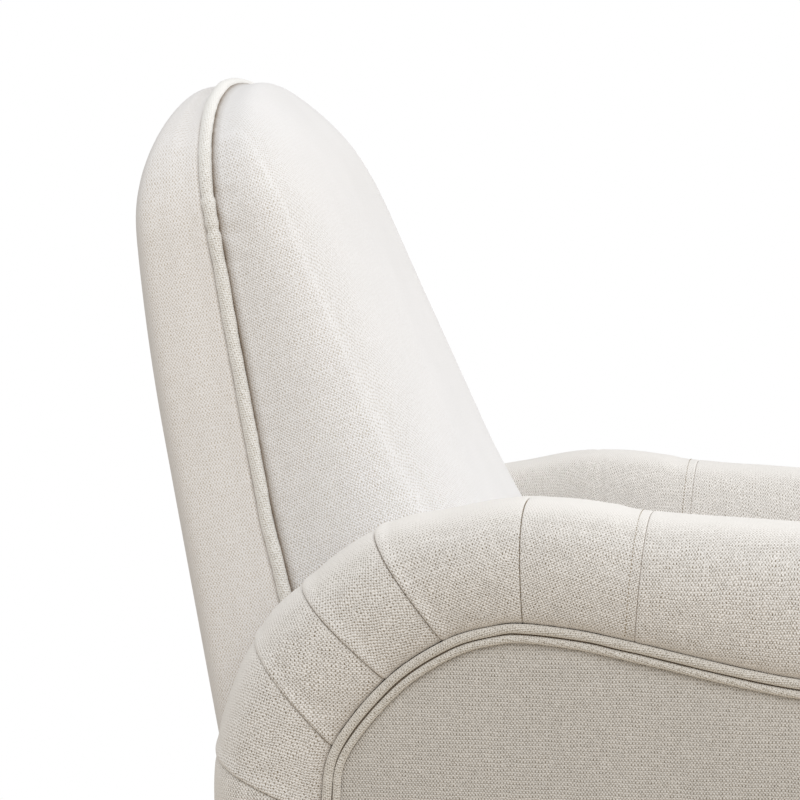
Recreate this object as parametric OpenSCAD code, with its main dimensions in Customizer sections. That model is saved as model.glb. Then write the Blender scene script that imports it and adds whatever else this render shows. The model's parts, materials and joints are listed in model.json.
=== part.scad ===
// Upholstered swivel glider chair.
// Millimetres, +Z up. The chair faces -Y, and the origin is on the floor under the swivel axis.
// Left and right are the sitter's own: the right arm is at -X.

/* [Overall] */
// Clear width between the insides of the arms
seat_w = 510; // [440:1:620]
// Height of the arm's crest above the floor
arm_top = 625; // [520:1:750]
// Foremost line of the arms
arm_front = -470; // [-560:1:-440]
// Rearmost line of the arms
arm_rear = 391; // [385:1:430]
// Height of the crest of the back above the floor
back_top = 1004; // [900:1:1150]
// Height of the upholstery's lower edge above the floor
hem_z = 95; // [90:1:100]

/* [Arms] */
// Thickness of an arm, from its inner face to its side panel
arm_t = 115; // [95:1:140]
// How far the arm roll stands out past the side panel
roll_bulge = 13; // [6:1:20]
// Thickness of the padding on the inside of an arm
arm_pad_t = 15; // [10:1:20]
// Thickness of the plywood board in an arm
arm_board_t = 15; // [12:1:18]
// Thickness of the padded side panel
side_panel_t = 12; // [8:1:16]
// Width of the two cords of the double welt together
welt_w = 16; // [12:1:20]
// Height of the double welt above the side panel
welt_t = 7; // [5:1:9]

/* [Seat] */
// Thickness of the seat cushion at its border
cushion_t = 132; // [100:1:160]
// Rise of the cushion's crown above its border
cushion_crown = 14; // [6:1:24]
// How far the cushion sits behind the front of the arms
cushion_setback = 25; // [10:1:50]
// Height of the wooden seat box
box_h = 200; // [185:1:240]
// Thickness of the boards of the seat box
board_t = 25; // [18:1:30]
// Thickness of the padded deck under the cushion
deck_t = 20; // [10:1:30]
// Thickness of the padded front apron
apron_t = 16; // [8:1:20]
// Diameter of the spring wire
wire_d = 3.6; // [3:0.2:4.2]
// Number of seat springs
spring_n = 4; // [3:1:5]

/* [Back] */
// Lean of the back from upright, in degrees
back_lean = 10.5; // [8:0.5:13]
// Where the plane of the back meets the floor
back_y0 = 246; // [236:1:260]
// Gap between the back and the inside of each arm
back_gap = 3; // [2:1:6]
// Height of the rounded shoulders below the crest of the back
shoulder_h = 146; // [110:1:180]
// Depth of the padding at the lumbar bulge
lumbar_d = 206; // [190:1:240]
// Height of the lumbar bulge along the back
lumbar_h = 480; // [460:1:500]
// Depth of the wrapped outside back behind the welt
shell_d = 90; // [76:1:100]
// Thickness of the boards in the back frame
back_board_t = 18; // [15:1:20]
// Diameter of the welt round the back
back_welt_d = 12; // [8:1:12]

/* [Glide linkage] */
// Distance between the two pivots of a link
link_len = 150; // [125:1:182]
// Distance between the front and the rear pivots
link_span = 300; // [260:1:320]
// Largest swing of a link each way, in degrees
swing = 20; // [12:1:22]
// Diameter of the pivot pins
pin_d = 10; // [8:0.5:12]
// Outer diameter of the link bearings
bearing_d = 22; // [20:0.5:26]
// Radial running clearance of a pin in its bearing
run_fit = 0.05; // [0.02:0.01:0.09]
// Radial clearance at the rear lower pivots
open_fit = 0.25; // [0.2:0.05:0.4]
// Thickness of the link plates
link_t = 5; // [4:0.5:6]
// Thickness of the glide rails and of the hanger uprights
steel_t = 5; // [4:0.5:6]

/* [Swivel base] */
// Mean diameter of the base ring
ring_d = 480; // [420:1:520]
// Diameter of the ring tube
ring_tube_d = 25; // [22:1:28]
// Height of the floor glides under the ring
glide_h = 6; // [4:1:8]
// Number of floor glides
glide_n = 6; // [4:1:8]
// Diameter of the swivel plates
plate_d = 190; // [180:1:200]
// Thickness of the swivel plates
plate_t = 4; // [3:0.5:5]
// Diameter of the circle of balls
race_d = 150; // [140:1:156]
// Diameter of a bearing ball
ball_d = 8; // [6:0.5:10]
// Number of bearing balls
ball_n = 18; // [12:1:20]
// Diameter of the king bolt
king_d = 12; // [10:0.5:14.5]

/* [Hidden] */
$fn = 64;
eps = 1;

linen = [0.86, 0.84, 0.80];
linen_shade = [0.80, 0.77, 0.72];
timber = [0.80, 0.68, 0.48];
black_steel = [0.14, 0.14, 0.15];
zinc = [0.72, 0.73, 0.75];
black_plastic = [0.10, 0.10, 0.10];
black_cloth = [0.12, 0.12, 0.13];

touch = 0.3;              // gap between two soft pieces that lie against each other
seat_gap = 0.05;          // gap between a fastener and the piece it is tightened on
bolt_fit = 0.2;           // radial clearance of a bolt in its hole
thread_fit = 0.05;        // radial gap that stands for a thread
weld_gap = 0.2;           // gap round the ring tube, where a spoke is welded or a glide is pressed on

// Heights of the swivel base, from the floor up
ring_z = glide_h + ring_tube_d / 2;
spoke_t = 14;
spoke_w = 40;
spoke_top = glide_h + ring_tube_d - 2.5;
hub_t = 5;
hub_r = 80;
lower_plate_z = spoke_top + hub_t;
ball_sink = ball_d / 8;
plate_gap = ball_d - 2 * ball_sink;
ball_z = lower_plate_z + plate_t + plate_gap / 2;
upper_plate_z = lower_plate_z + plate_t + plate_gap;
table_z = upper_plate_z + plate_t;
ball_fit = 0.3;
cage_w = 18;
plate_bolt_r = 50;
plate_bolt_d = 6;
plate_bolt_angles = [45, 135, 225, 315];
king_nut_z = table_z + ball_fit + 2.5;

// Turntable frame
bar_bolt_d = 6;
bar_bolt_x = 60;
tube_wall = 2;
bar_w = 40;
bar_h = 20;
bar_y = 60;
channel_w = 25;
channel_h = 30;
upright_w = 40;
channel_half = link_span / 2 + upright_w / 2 + 5;

// Glide linkage, from the seat box inwards
low_pivot_z = 75;
top_pivot_z = low_pivot_z + link_len;
travel = link_len * sin(swing);
box_half = seat_w / 2 - 0.5;
rail_x = box_half - 58.5;
bearing_t = link_t + 2;
washer_t = 4;
bearing_x = rail_x - washer_t - bearing_t;
link_x = bearing_x + 1;
upright_x = bearing_x - 5 - steel_t;
channel_x = upright_x - channel_w;
nut_t = 8;
rail_top = 105;
rail_drop = 15;
bump_t = 10;
stop_gap = 1.2;
cross_w = 25;
cross_y = channel_half + bump_t + stop_gap + travel + cross_w / 2;
cross_z = 55;

// Seat box
box_front_y = arm_front + cushion_setback + 35;
box_rear_y = back_y0 + rail_top * tan(back_lean) - 5.5;
box_top = rail_top + box_h;
clip_h = 7;
deck_z = box_top + clip_h + 0.5;
cushion_z = deck_z + deck_t + 0.5;
rail_screw_ys = [-200, 0, 200];
rail_screw_d = 6;
rail_screw_depth = 45;
arm_bolt_ys = [-230, -80, 150];
arm_bolt_z = 165;
arm_bolt_d = 8;
block_leg = 50;
spring_y0 = box_front_y + board_t / 2;
spring_y1 = box_rear_y - board_t / 2;
spring_half = 25;
spring_bars = 18;
spring_z = box_top + 3.6;
spring_xs = [for (i = [0 : spring_n - 1]) (box_half - board_t - 50) * (2 * i / (spring_n - 1) - 1)];

// Arms
arm_in = seat_w / 2;
arm_board_x = arm_in + arm_pad_t;
arm_posts_x = arm_board_x + arm_board_t;
panel_x = arm_in + arm_t - side_panel_t;
arm_mid = arm_in + arm_t / 2;
roll_half = arm_t / 2 - 0.5;

// One row for each station along the arm: outer y, outer z, inner y, inner z
arm_stations = [
    [arm_rear - 5, hem_z, arm_rear - 102, hem_z],
    [arm_rear, arm_top - 325, arm_rear - 100, arm_top - 330],
    [arm_rear - 1, arm_top - 210, arm_rear - 101, arm_top - 255],
    [arm_rear - 36, arm_top - 119, arm_rear - 112, arm_top - 206],
    [arm_rear - 78, arm_top - 73, arm_rear - 157, arm_top - 150],
    [arm_rear - 141, arm_top - 27, arm_rear - 207, arm_top - 116],
    [arm_rear - 200, arm_top - 12, arm_rear - 248, arm_top - 103],
    [arm_rear - 272, arm_top, arm_rear - 275, arm_top - 100],
    [arm_rear - 341, arm_top - 5, arm_rear - 325, arm_top - 105],
    [arm_rear - 379, arm_top - 11, arm_rear - 370, arm_top - 114],
    [arm_rear - 507, arm_top - 19, arm_rear - 509, arm_top - 142],
    [arm_front + 215, arm_top - 22, arm_front + 225, arm_top - 147],
    [arm_front + 90, arm_top - 45, arm_front + 155, arm_top - 170],
    [arm_front + 22, arm_top - 115, arm_front + 122, arm_top - 225],
    [arm_front, arm_top - 215, arm_front + 117, arm_top - 300],
    [arm_front + 4, (arm_top - 215 + hem_z) / 2, arm_front + 118, (arm_top - 300 + hem_z) / 2],
    [arm_front + 12, hem_z, arm_front + 122, hem_z]
];
station_steps = 3;
arm_outer = curve([for (s = arm_stations) [s[0], s[1]]], station_steps);
arm_inner = curve([for (s = arm_stations) [s[2], s[3]]], station_steps);

// Section of the roll: sideways place, from 1 outside to -1 inside, and height above its seat, 0 to 1
roll_section = [
    [1, 0], [1.15, 0.18], [1.22, 0.42], [1.15, 0.66], [0.92, 0.85], [0.5, 0.97], [0, 1],
    [-0.45, 0.985], [-0.82, 0.9], [-1, 0.72], [-1, 0]
];

// Back
back_half = seat_w / 2 - back_gap;
crest_h = back_top / cos(back_lean);
arch_power = 2.2;
welt_r = back_welt_d / 2;
welt_inset = welt_r - 1;  // the welt stands 1 mm proud
frame_inset = 14;
frame_half = back_half - frame_inset;
post_w = 60;
web_t = 2.7;
groove_r = welt_r + 0.8;
post_foot_h = 122;
post_head_h = crest_h - 200;
lumbar_slope = 0.27;
lumbar_round = 30;        // how softly the upright and the leaning part of the front meet
lumbar_y = back_y0 - lumbar_d * cos(back_lean) + lumbar_h * sin(back_lean);
wedge_w = 50;
wedge_x = frame_half - 5 - wedge_w;
wedge_top = 300;
back_screw_zs = [150, 230];
back_screw_d = 6;
back_screw_reach = 14;
edge_d = 14;
// Depth and inset of the padding where it lies against the welt
pad_lip = [[-web_t - 0.1, welt_inset + groove_r * cos(25)],
    [-groove_r * sin(68), welt_inset + groove_r * cos(68)]];
// Share of the depth past the welt, inset from the outline near the seat, and inset higher up
pad_rings = [[0, 1, 1], [0.3, -0.5, 4], [0.5, 0, 17], [0.7, 3, 44], [0.85, 12, 84], [0.95, 32, 138]];
crest_share = 0.6;        // how much of that inset there is at the crest
// Share of the depth, and inset from the outline
wrap_rings = [[0, 1], [0.4, 0], [0.72, 4], [0.92, 14], [1, 34]];

// ---------- curves and lofts ----------

function curve_at(a, b, c, d, t) =
    0.5 * (2 * b + (c - a) * t + (2 * a - 5 * b + 4 * c - d) * t * t
        + (3 * b - a - 3 * c + d) * t * t * t);

// A smooth curve through all the points, with steps points on each span
function curve(p, steps) = let (n = len(p) - 1) concat(
    [for (i = [0 : n - 1]) for (j = [0 : steps - 1])
        curve_at(p[max(i - 1, 0)], p[i], p[i + 1], p[min(i + 2, n)], j / steps)],
    [p[n]]);

function unit(v) = v / norm(v);
function backwards(list) = [for (i = [len(list) - 1 : -1 : 0]) list[i]];

function middle_of(ring) = [for (i = [0 : 2]) [for (p = ring) p[i]] * [for (p = ring) 1] / len(ring)];

// Stitches equal rings of points into one closed solid. Each ring runs anticlockwise, seen from the next one
module loft(rings) {
    m = len(rings[0]);
    n = len(rings);
    points = [for (ring = rings) for (p = ring) p];
    walls = [for (i = [0 : n - 2]) for (j = [0 : m - 1])
        let (a = i * m + j, b = i * m + (j + 1) % m)
        each [[a, b + m, b], [a, a + m, b + m]]];
    first = [for (j = [0 : m - 1]) [n * m, j, (j + 1) % m]];
    last = [for (j = [0 : m - 1]) [n * m + 1, (n - 1) * m + (j + 1) % m, (n - 1) * m + j]];
    polyhedron(concat(points, [middle_of(rings[0]), middle_of(rings[n - 1])]),
        concat(walls, first, last), convexity = 6);
}

// Both sides, or one side, of a piece drawn on the +X side
module on_right() mirror([1, 0, 0]) children();
module both_sides() {
    children();
    on_right() children();
}

module along_x(x) translate([x, 0, 0]) rotate([90, 0, 90]) children();
module rod_x(x, y, z, d, length) translate([x, y, z]) rotate([0, 90, 0]) cylinder(d = d, h = length);
module hex_x(x, y, z, across, length)
    translate([x, y, z]) rotate([0, 90, 0]) cylinder(r = across / sqrt(3), h = length, $fn = 6);

module box_tube_x(length, w, h) {
    difference() {
        translate([-length / 2, -w / 2, 0]) cube([length, w, h]);
        translate([-length / 2 - eps, -w / 2 + tube_wall, tube_wall])
            cube([length + 2 * eps, w - 2 * tube_wall, h - 2 * tube_wall]);
    }
}

// ---------- swivel base ----------

module ring_tube(grow) translate([0, 0, ring_z]) rotate_extrude()
    translate([ring_d / 2, 0]) circle(d = ring_tube_d + 2 * grow);

module base_ring() color(black_steel) ring_tube(0);

// Two crossed bars and a hub plate, their ends shaped to the ring
module base_spokes() color(black_steel) difference() {
    union() {
        for (turn = [0, 90]) rotate(turn)
            translate([-ring_d / 2, -spoke_w / 2, spoke_top - spoke_t]) cube([ring_d, spoke_w, spoke_t]);
        translate([0, 0, spoke_top]) cylinder(r = hub_r, h = hub_t);
    }
    ring_tube(weld_gap);
    translate([0, 0, -eps]) cylinder(d = king_d + 2 * bolt_fit, h = lower_plate_z + 2 * eps);
    for (a = plate_bolt_angles) rotate(a) translate([plate_bolt_r, 0, spoke_top - eps])
        cylinder(d = plate_bolt_d + 2 * bolt_fit, h = hub_t + 2 * eps);
}

module floor_glides() color(black_plastic) for (i = [0 : glide_n - 1])
    rotate((i + 0.5) * 360 / glide_n) difference() {
        translate([ring_d / 2, 0, 0]) cylinder(d = 36, h = glide_h + 4);
        ring_tube(weld_gap);
    }

module race() translate([0, 0, ball_z]) rotate_extrude()
    translate([race_d / 2, 0]) circle(d = ball_d + 2 * ball_fit);

module swivel_lower_plate() color(zinc) difference() {
    translate([0, 0, lower_plate_z]) cylinder(d = plate_d, h = plate_t);
    translate([0, 0, lower_plate_z - eps]) cylinder(d = king_d + 2 * bolt_fit, h = plate_t + 2 * eps);
    for (a = plate_bolt_angles) rotate(a) translate([plate_bolt_r, 0, lower_plate_z - eps])
        cylinder(d = plate_bolt_d + 2 * bolt_fit, h = plate_t + 2 * eps);
    race();
}

module plate_bolts() color(zinc) for (a = plate_bolt_angles) rotate(a)
    translate([plate_bolt_r, 0, 0]) {
        head_z = lower_plate_z + plate_t + seat_gap;
        nut_z = spoke_top - 5 - seat_gap;
        union() {
            translate([0, 0, head_z]) cylinder(d = 11, h = 2);
            translate([0, 0, nut_z - 2]) cylinder(d = plate_bolt_d, h = head_z - nut_z + 3);
        }
        difference() {
            translate([0, 0, nut_z]) cylinder(d = 11.5, h = 5, $fn = 6);
            translate([0, 0, nut_z - eps]) cylinder(d = plate_bolt_d + 2 * thread_fit, h = 5 + 2 * eps);
        }
    }

module ball_cage() color(black_plastic) difference() {
    translate([0, 0, ball_z - 1]) cylinder(d = race_d + cage_w, h = 2);
    translate([0, 0, ball_z - 1 - eps]) cylinder(d = race_d - cage_w, h = 2 + 2 * eps);
    for (i = [0 : ball_n - 1]) rotate(i * 360 / ball_n)
        translate([race_d / 2, 0, ball_z - 1 - eps]) cylinder(d = ball_d + 2 * ball_fit, h = 2 + 2 * eps);
}

module bearing_balls() color(zinc) for (i = [0 : ball_n - 1]) rotate(i * 360 / ball_n)
    translate([race_d / 2, 0, ball_z]) sphere(d = ball_d, $fn = 24);

module king_bolt() color(zinc) {
    head_z = spoke_top - spoke_t - 6;
    union() {
        translate([0, 0, head_z]) cylinder(d = 22, h = 6 - seat_gap);
        translate([0, 0, head_z + eps]) cylinder(d = king_d, h = king_nut_z + 12 - head_z);
    }
}

module king_nut() color(zinc) {
    difference() {
        translate([0, 0, table_z + ball_fit]) cylinder(d = 30, h = 2.4);
        translate([0, 0, table_z]) cylinder(d = king_d + 2 * bolt_fit, h = 5);
    }
    difference() {
        translate([0, 0, king_nut_z]) cylinder(d = king_d * 1.85, h = 9, $fn = 6);
        translate([0, 0, king_nut_z - eps]) cylinder(d = king_d + 2 * thread_fit, h = 9 + 2 * eps);
    }
}

// ---------- turntable frame ----------

module at_bar_bolts() for (x = [-bar_bolt_x, bar_bolt_x]) for (y = [-bar_y, bar_y])
    translate([x, y, 0]) children();

module swivel_upper_plate() color(zinc) difference() {
    translate([0, 0, upper_plate_z]) cylinder(d = plate_d, h = plate_t);
    translate([0, 0, upper_plate_z - eps]) cylinder(d = king_d + 2 * 0.08, h = plate_t + 2 * eps);
    at_bar_bolts() translate([0, 0, upper_plate_z - eps])
        cylinder(d = bar_bolt_d + 2 * thread_fit, h = plate_t + 2 * eps);
    race();
}

module turntable_bars() color(black_steel) for (y = [-bar_y, bar_y]) difference() {
    translate([0, y, table_z]) box_tube_x(2 * channel_x, bar_w, bar_h);
    for (x = [-bar_bolt_x, bar_bolt_x]) translate([x, y, table_z - eps])
        cylinder(d = bar_bolt_d + 2 * bolt_fit, h = bar_h + 2 * eps);
}

module turntable_channels() color(black_steel) both_sides()
    translate([channel_x + channel_w / 2, 0, table_z]) rotate(90)
        box_tube_x(2 * channel_half, channel_w, channel_h);

module hanger_uprights() color(black_steel) both_sides() for (y = [-link_span / 2, link_span / 2])
    difference() {
        union() {
            translate([upright_x, y - upright_w / 2, table_z])
                cube([steel_t, upright_w, top_pivot_z - table_z]);
            rod_x(upright_x, y, top_pivot_z, upright_w, steel_t);
        }
        rod_x(upright_x - eps, y, top_pivot_z, pin_d + 2 * bolt_fit, steel_t + 2 * eps);
    }

module upper_pivot_pins() color(zinc) both_sides() for (y = [-link_span / 2, link_span / 2]) union() {
    rod_x(upright_x - 5, y, top_pivot_z, pin_d + 8, 5 - seat_gap);
    rod_x(upright_x - 4, y, top_pivot_z, pin_d, bearing_x + bearing_t + nut_t - upright_x + 6);
}

module upper_pivot_nuts() color(zinc) both_sides() for (y = [-link_span / 2, link_span / 2]) {
    spacer_x = upright_x + steel_t + seat_gap;
    difference() {
        rod_x(spacer_x, y, top_pivot_z, pin_d + 6, bearing_x - spacer_x - 0.25);
        rod_x(upright_x, y, top_pivot_z, pin_d + 2 * bolt_fit, 2 * steel_t + 10);
    }
    difference() {
        hex_x(bearing_x + bearing_t + 0.3, y, top_pivot_z, pin_d + 7, nut_t);
        rod_x(bearing_x, y, top_pivot_z, pin_d + 2 * thread_fit, bearing_t + nut_t + 5);
    }
}

module bar_bolts() color(zinc) at_bar_bolts() union() {
    translate([0, 0, table_z + bar_h + seat_gap]) cylinder(d = 11, h = 4);
    translate([0, 0, upper_plate_z + 0.5]) cylinder(d = bar_bolt_d, h = table_z + bar_h + 2 - upper_plate_z);
}

module bump_stops() color(black_plastic) both_sides() for (side = [0, 1]) mirror([0, side, 0])
    translate([channel_x + 1, channel_half + seat_gap, table_z + 2.5])
        cube([channel_w - 2, bump_t, channel_h - 5]);

// ---------- hanging links ----------

module link_plates(y) color(black_steel) both_sides() difference() {
    union() {
        translate([link_x, y - 17, low_pivot_z]) cube([link_t, 34, link_len]);
        rod_x(link_x, y, low_pivot_z, 34, link_t);
        rod_x(link_x, y, top_pivot_z, 34, link_t);
    }
    for (z = [low_pivot_z, top_pivot_z]) rod_x(link_x - eps, y, z, bearing_d + 0.04, link_t + 2 * eps);
}

module link_bearings(y) color(zinc) both_sides() for (z = [low_pivot_z, top_pivot_z]) difference() {
    rod_x(bearing_x, y, z, bearing_d, bearing_t);
    rod_x(bearing_x - eps, y, z, pin_d + 2 * run_fit, bearing_t + 2 * eps);
}

module front_link_plates() link_plates(-link_span / 2);
module front_link_bearings() link_bearings(-link_span / 2);
module rear_link_plates() link_plates(link_span / 2);
module rear_link_bearings() link_bearings(link_span / 2);

// ---------- moving glide frame ----------

module glide_rail() color(black_steel) difference() {
    half = cross_y + cross_w / 2;
    low_edge = low_pivot_z - rail_drop;
    union() {
        translate([rail_x, -half, low_edge]) cube([steel_t, 2 * half, rail_top - low_edge]);
        translate([rail_x, -half, rail_top - steel_t]) cube([box_half - rail_x, 2 * half, steel_t]);
    }
    for (y = [-link_span / 2, link_span / 2])
        rod_x(rail_x - eps, y, low_pivot_z, pin_d + 2 * bolt_fit, steel_t + 2 * eps);
    at_rail_screws() translate([0, 0, rail_top - steel_t - eps])
        cylinder(d = rail_screw_d + 2 * bolt_fit, h = steel_t + 2 * eps);
}

module at_rail_screws() for (y = rail_screw_ys) translate([box_half - board_t / 2, y, 0]) children();

module glide_rail_left() glide_rail();
module glide_rail_right() on_right() glide_rail();

module cross_tubes() color(black_steel) for (y = [-cross_y, cross_y])
    translate([0, y, cross_z]) box_tube_x(2 * rail_x, cross_w, cross_w);

module lower_pivot_pins() color(zinc) both_sides() for (end = [-1, 1]) {
    shank = end < 0 ? pin_d : pin_d + 2 * run_fit - 2 * open_fit;
    y = end * link_span / 2;
    union() {
        rod_x(bearing_x - 3.6, y, low_pivot_z, pin_d + 6, 3.4);
        rod_x(bearing_x - 2, y, low_pivot_z, shank, rail_x + steel_t + nut_t + 4 - bearing_x);
    }
}

module lower_pivot_nuts() color(zinc) both_sides() for (y = [-link_span / 2, link_span / 2]) {
    difference() {
        rod_x(bearing_x + bearing_t + 0.3, y, low_pivot_z, pin_d + 6, washer_t - 0.3 - seat_gap);
        rod_x(bearing_x + bearing_t, y, low_pivot_z, pin_d + 2 * thread_fit, washer_t + eps);
    }
    difference() {
        hex_x(rail_x + steel_t + seat_gap, y, low_pivot_z, pin_d + 7, nut_t);
        rod_x(rail_x, y, low_pivot_z, pin_d + 2 * thread_fit, steel_t + nut_t + 5);
    }
}

module rail_screws() color(zinc) both_sides() at_rail_screws() union() {
    translate([0, 0, rail_top - steel_t - 4 - seat_gap]) cylinder(d = 12, h = 4);
    translate([0, 0, rail_top - steel_t - 3]) cylinder(d = rail_screw_d, h = rail_screw_depth + steel_t + 3);
}

// ---------- seat box ----------

module at_arm_bolts(x) for (y = arm_bolt_ys) translate([x, y, arm_bolt_z]) rotate([0, 90, 0]) children();

module box_side() color(timber) difference() {
    translate([box_half - board_t, box_front_y + board_t, rail_top])
        cube([board_t, box_rear_y - box_front_y - 2 * board_t, box_h]);
    at_arm_bolts(box_half - board_t - eps) cylinder(d = arm_bolt_d + 2 * bolt_fit, h = board_t + 2 * eps);
    at_rail_screws() translate([0, 0, rail_top - eps])
        cylinder(d = rail_screw_d + 2 * thread_fit, h = rail_screw_depth + eps + 0.5);
}

module box_side_left() box_side();
module box_side_right() on_right() box_side();

module box_front() color(timber)
    translate([-box_half, box_front_y, rail_top]) cube([2 * box_half, board_t, box_h]);

module at_back_screws(y) for (x = [-1, 1]) for (z = back_screw_zs)
    translate([x * (wedge_x + wedge_w / 2), y, z]) rotate([-90, 0, 0]) children();

module box_back() color(timber) difference() {
    translate([-box_half, box_rear_y - board_t, rail_top]) cube([2 * box_half, board_t, box_h]);
    at_back_screws(box_rear_y - board_t - eps)
        cylinder(d = back_screw_d + 2 * bolt_fit, h = board_t + 2 * eps);
}

// Glued triangular blocks that stiffen the corners, above the reach of the hangers
module corner_blocks() color(timber) {
    z0 = top_pivot_z + 30;
    inside = box_half - board_t;
    both_sides() for (end = [0, 1]) {
        y = end == 0 ? box_front_y + board_t : box_rear_y - board_t;
        dir = end == 0 ? 1 : -1;
        translate([0, 0, z0]) linear_extrude(box_top - 5 - z0)
            polygon([[inside, y], [inside - block_leg, y], [inside, y + dir * block_leg]]);
    }
}

// A zigzag from the front board to the back board
function spring_path() = let (pitch = (spring_y1 - spring_y0) / spring_bars, r = pitch / 2)
    [for (i = [0 : spring_bars]) let (s = i % 2 == 0 ? 1 : -1, y = spring_y0 + i * pitch)
        each concat([[-s * (spring_half - r), y], [s * (spring_half - r), y]],
            i < spring_bars ? [[s * (spring_half - 0.3 * r), y + 0.3 * r],
                [s * spring_half, y + r], [s * (spring_half - 0.3 * r), y + 1.7 * r]] : [])];

// A wire ring square to a flat path at one of its points
function wire_ring(path, i, r, sides, z) =
    let (n = len(path) - 1,
        along = unit(path[min(i + 1, n)] - path[max(i - 1, 0)]),
        across = [-along[1], along[0]])
    [for (k = [0 : sides - 1]) let (a = 360 * k / sides)
        [path[i][0] + across[0] * r * cos(a), path[i][1] + across[1] * r * cos(a), z + r * sin(a)]];

module seat_springs() color(zinc) {
    path = spring_path();
    for (x = spring_xs) translate([x, 0, 0])
        loft([for (i = [0 : len(path) - 1]) wire_ring(path, i, wire_d / 2, 5, spring_z)]);
}

module spring_clips() color(zinc) for (x = spring_xs) for (y = [spring_y0, spring_y1]) difference() {
    translate([x - 6, y - 6, box_top]) cube([12, 12, clip_h]);
    rod_x(x - 6 - eps, y, spring_z, wire_d + 2 * bolt_fit, 12 + 2 * eps);
}

module seat_deck() color(black_cloth)
    translate([-arm_in + 1, box_front_y, deck_z])
        cube([2 * arm_in - 2, box_rear_y - box_front_y - 2, deck_t]);

// A rounded rectangle, drawn anticlockwise with equal corners
function round_rect(x0, x1, y0, y1, r) = [for (c = [0 : 3]) for (k = [0 : 4])
    let (cx = c == 0 || c == 3 ? x1 - r : x0 + r, cy = c < 2 ? y1 - r : y0 + r, a = c * 90 + k * 22.5)
    [cx + r * cos(a), cy + r * sin(a)]];

module seat_cushion() color(linen) {
    // height above the deck, inset from the cushion's sides
    steps = [[0, 22], [0.08, 8], [0.25, 1.5], [0.5, 0], [0.75, 1.5], [0.92, 8], [1, 22]];
    x = arm_in - 3;
    y0 = arm_front + cushion_setback;
    y1 = lumbar_y - 3;
    sides = [for (s = steps)
        [for (p = round_rect(-x + s[1], x - s[1], y0 + s[1], y1 - s[1], 30))
            [p[0], p[1], cushion_z + s[0] * cushion_t]]];
    crown = [for (s = [[0.6, 90], [1, 180]])
        [for (p = round_rect(-x + s[1], x - s[1], y0 + s[1], y1 - s[1], 30))
            [p[0], p[1], cushion_z + cushion_t + s[0] * cushion_crown]]];
    loft(concat(sides, crown));
}

module front_apron() color(linen) translate([-arm_in + 3, box_front_y - apron_t, hem_z])
    cube([2 * arm_in - 6, apron_t - touch, deck_z + deck_t - hem_z - 1]);

module dust_cover() color(black_cloth)
    translate([-box_half + 2, box_front_y + 5, rail_top - 2.4])
        cube([2 * box_half - 4, -cross_y - cross_w / 2 - box_front_y - 9, 2]);

// ---------- arms ----------

// The line under the roll, moved inwards by a gap, and cut level at the given height
function arm_line(gap, foot) = [for (i = [0 : len(arm_inner) - 1])
    let (p = arm_inner[i] + gap * unit(arm_inner[i] - arm_outer[i])) [p[0], max(p[1], foot)]];

module arm_sheet(x, t, gap, foot) along_x(x) linear_extrude(t) polygon(arm_line(gap, foot));

module arm_bolt_holes(x, t, fit) at_arm_bolts(x - eps) cylinder(d = arm_bolt_d + 2 * fit, h = t + 2 * eps);

module arm_board() color(timber) difference() {
    arm_sheet(arm_board_x + touch, arm_board_t - touch, 1, rail_top);
    arm_bolt_holes(arm_board_x, arm_board_t, thread_fit);
}
module arm_board_left() arm_board();
module arm_board_right() on_right() arm_board();

// Front, middle and rear posts of an arm, with sills between them
module arm_posts() color(timber) {
    post = 40;
    front = arm_front + 128;
    rear = arm_rear - 108 - post;
    middle = (front + rear) / 2;
    sill = 35;
    thick = panel_x - arm_posts_x - 2 * touch;
    intersection() {
        arm_sheet(arm_posts_x + touch, thick, 3, rail_top);
        for (y = [front, middle, rear])
            translate([arm_posts_x, y, 0]) cube([arm_t, post, arm_top]);
    }
    for (y = [front, middle]) translate([arm_posts_x + touch, y + post + seat_gap, rail_top])
        cube([thick, middle - front - post - 2 * seat_gap, sill]);
}
module arm_posts_left() arm_posts();
module arm_posts_right() on_right() arm_posts();

// Place across the chair of a point of the roll's section
function roll_x(u) = arm_mid + roll_half * min(u, 1) + roll_bulge * max(u - 1, 0) / 0.22;

module arm_roll() color(linen)
    loft([for (i = [0 : len(arm_outer) - 1]) [for (s = roll_section)
        let (p = arm_inner[i] + s[1] * (arm_outer[i] - arm_inner[i])) [roll_x(s[0]), p[0], p[1]]]]);
module arm_roll_left() arm_roll();
module arm_roll_right() on_right() arm_roll();

module side_panel() color(linen_shade) arm_sheet(panel_x, side_panel_t, 0.5, hem_z);
module side_panel_left() side_panel();
module side_panel_right() on_right() side_panel();

module arm_pad() color(linen) difference() {
    arm_sheet(arm_in, arm_pad_t, 0.5, rail_top);
    arm_bolt_holes(arm_in, arm_pad_t, bolt_fit);
}
module arm_pad_left() arm_pad();
module arm_pad_right() on_right() arm_pad();

module double_welt() color(linen) along_x(panel_x + side_panel_t + touch) linear_extrude(welt_t)
    polygon(concat(arm_line(1, hem_z), backwards(arm_line(1 + welt_w, hem_z))));
module double_welt_left() double_welt();
module double_welt_right() on_right() double_welt();

module arm_bolts() color(zinc) both_sides() at_arm_bolts(box_half - board_t) union() {
    translate([0, 0, -6 - seat_gap]) cylinder(d = 16, h = 6);
    translate([0, 0, -3]) cylinder(d = arm_bolt_d, h = 3 + arm_posts_x - box_half + board_t - 1);
}

// ---------- back ----------

module on_back() translate([0, back_y0, 0]) rotate([-back_lean, 0, 0]) children();

// Height along the back at which a point at depth y stands z above the floor
function level_h(z, y) = (z + y * sin(back_lean)) / cos(back_lean);

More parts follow.
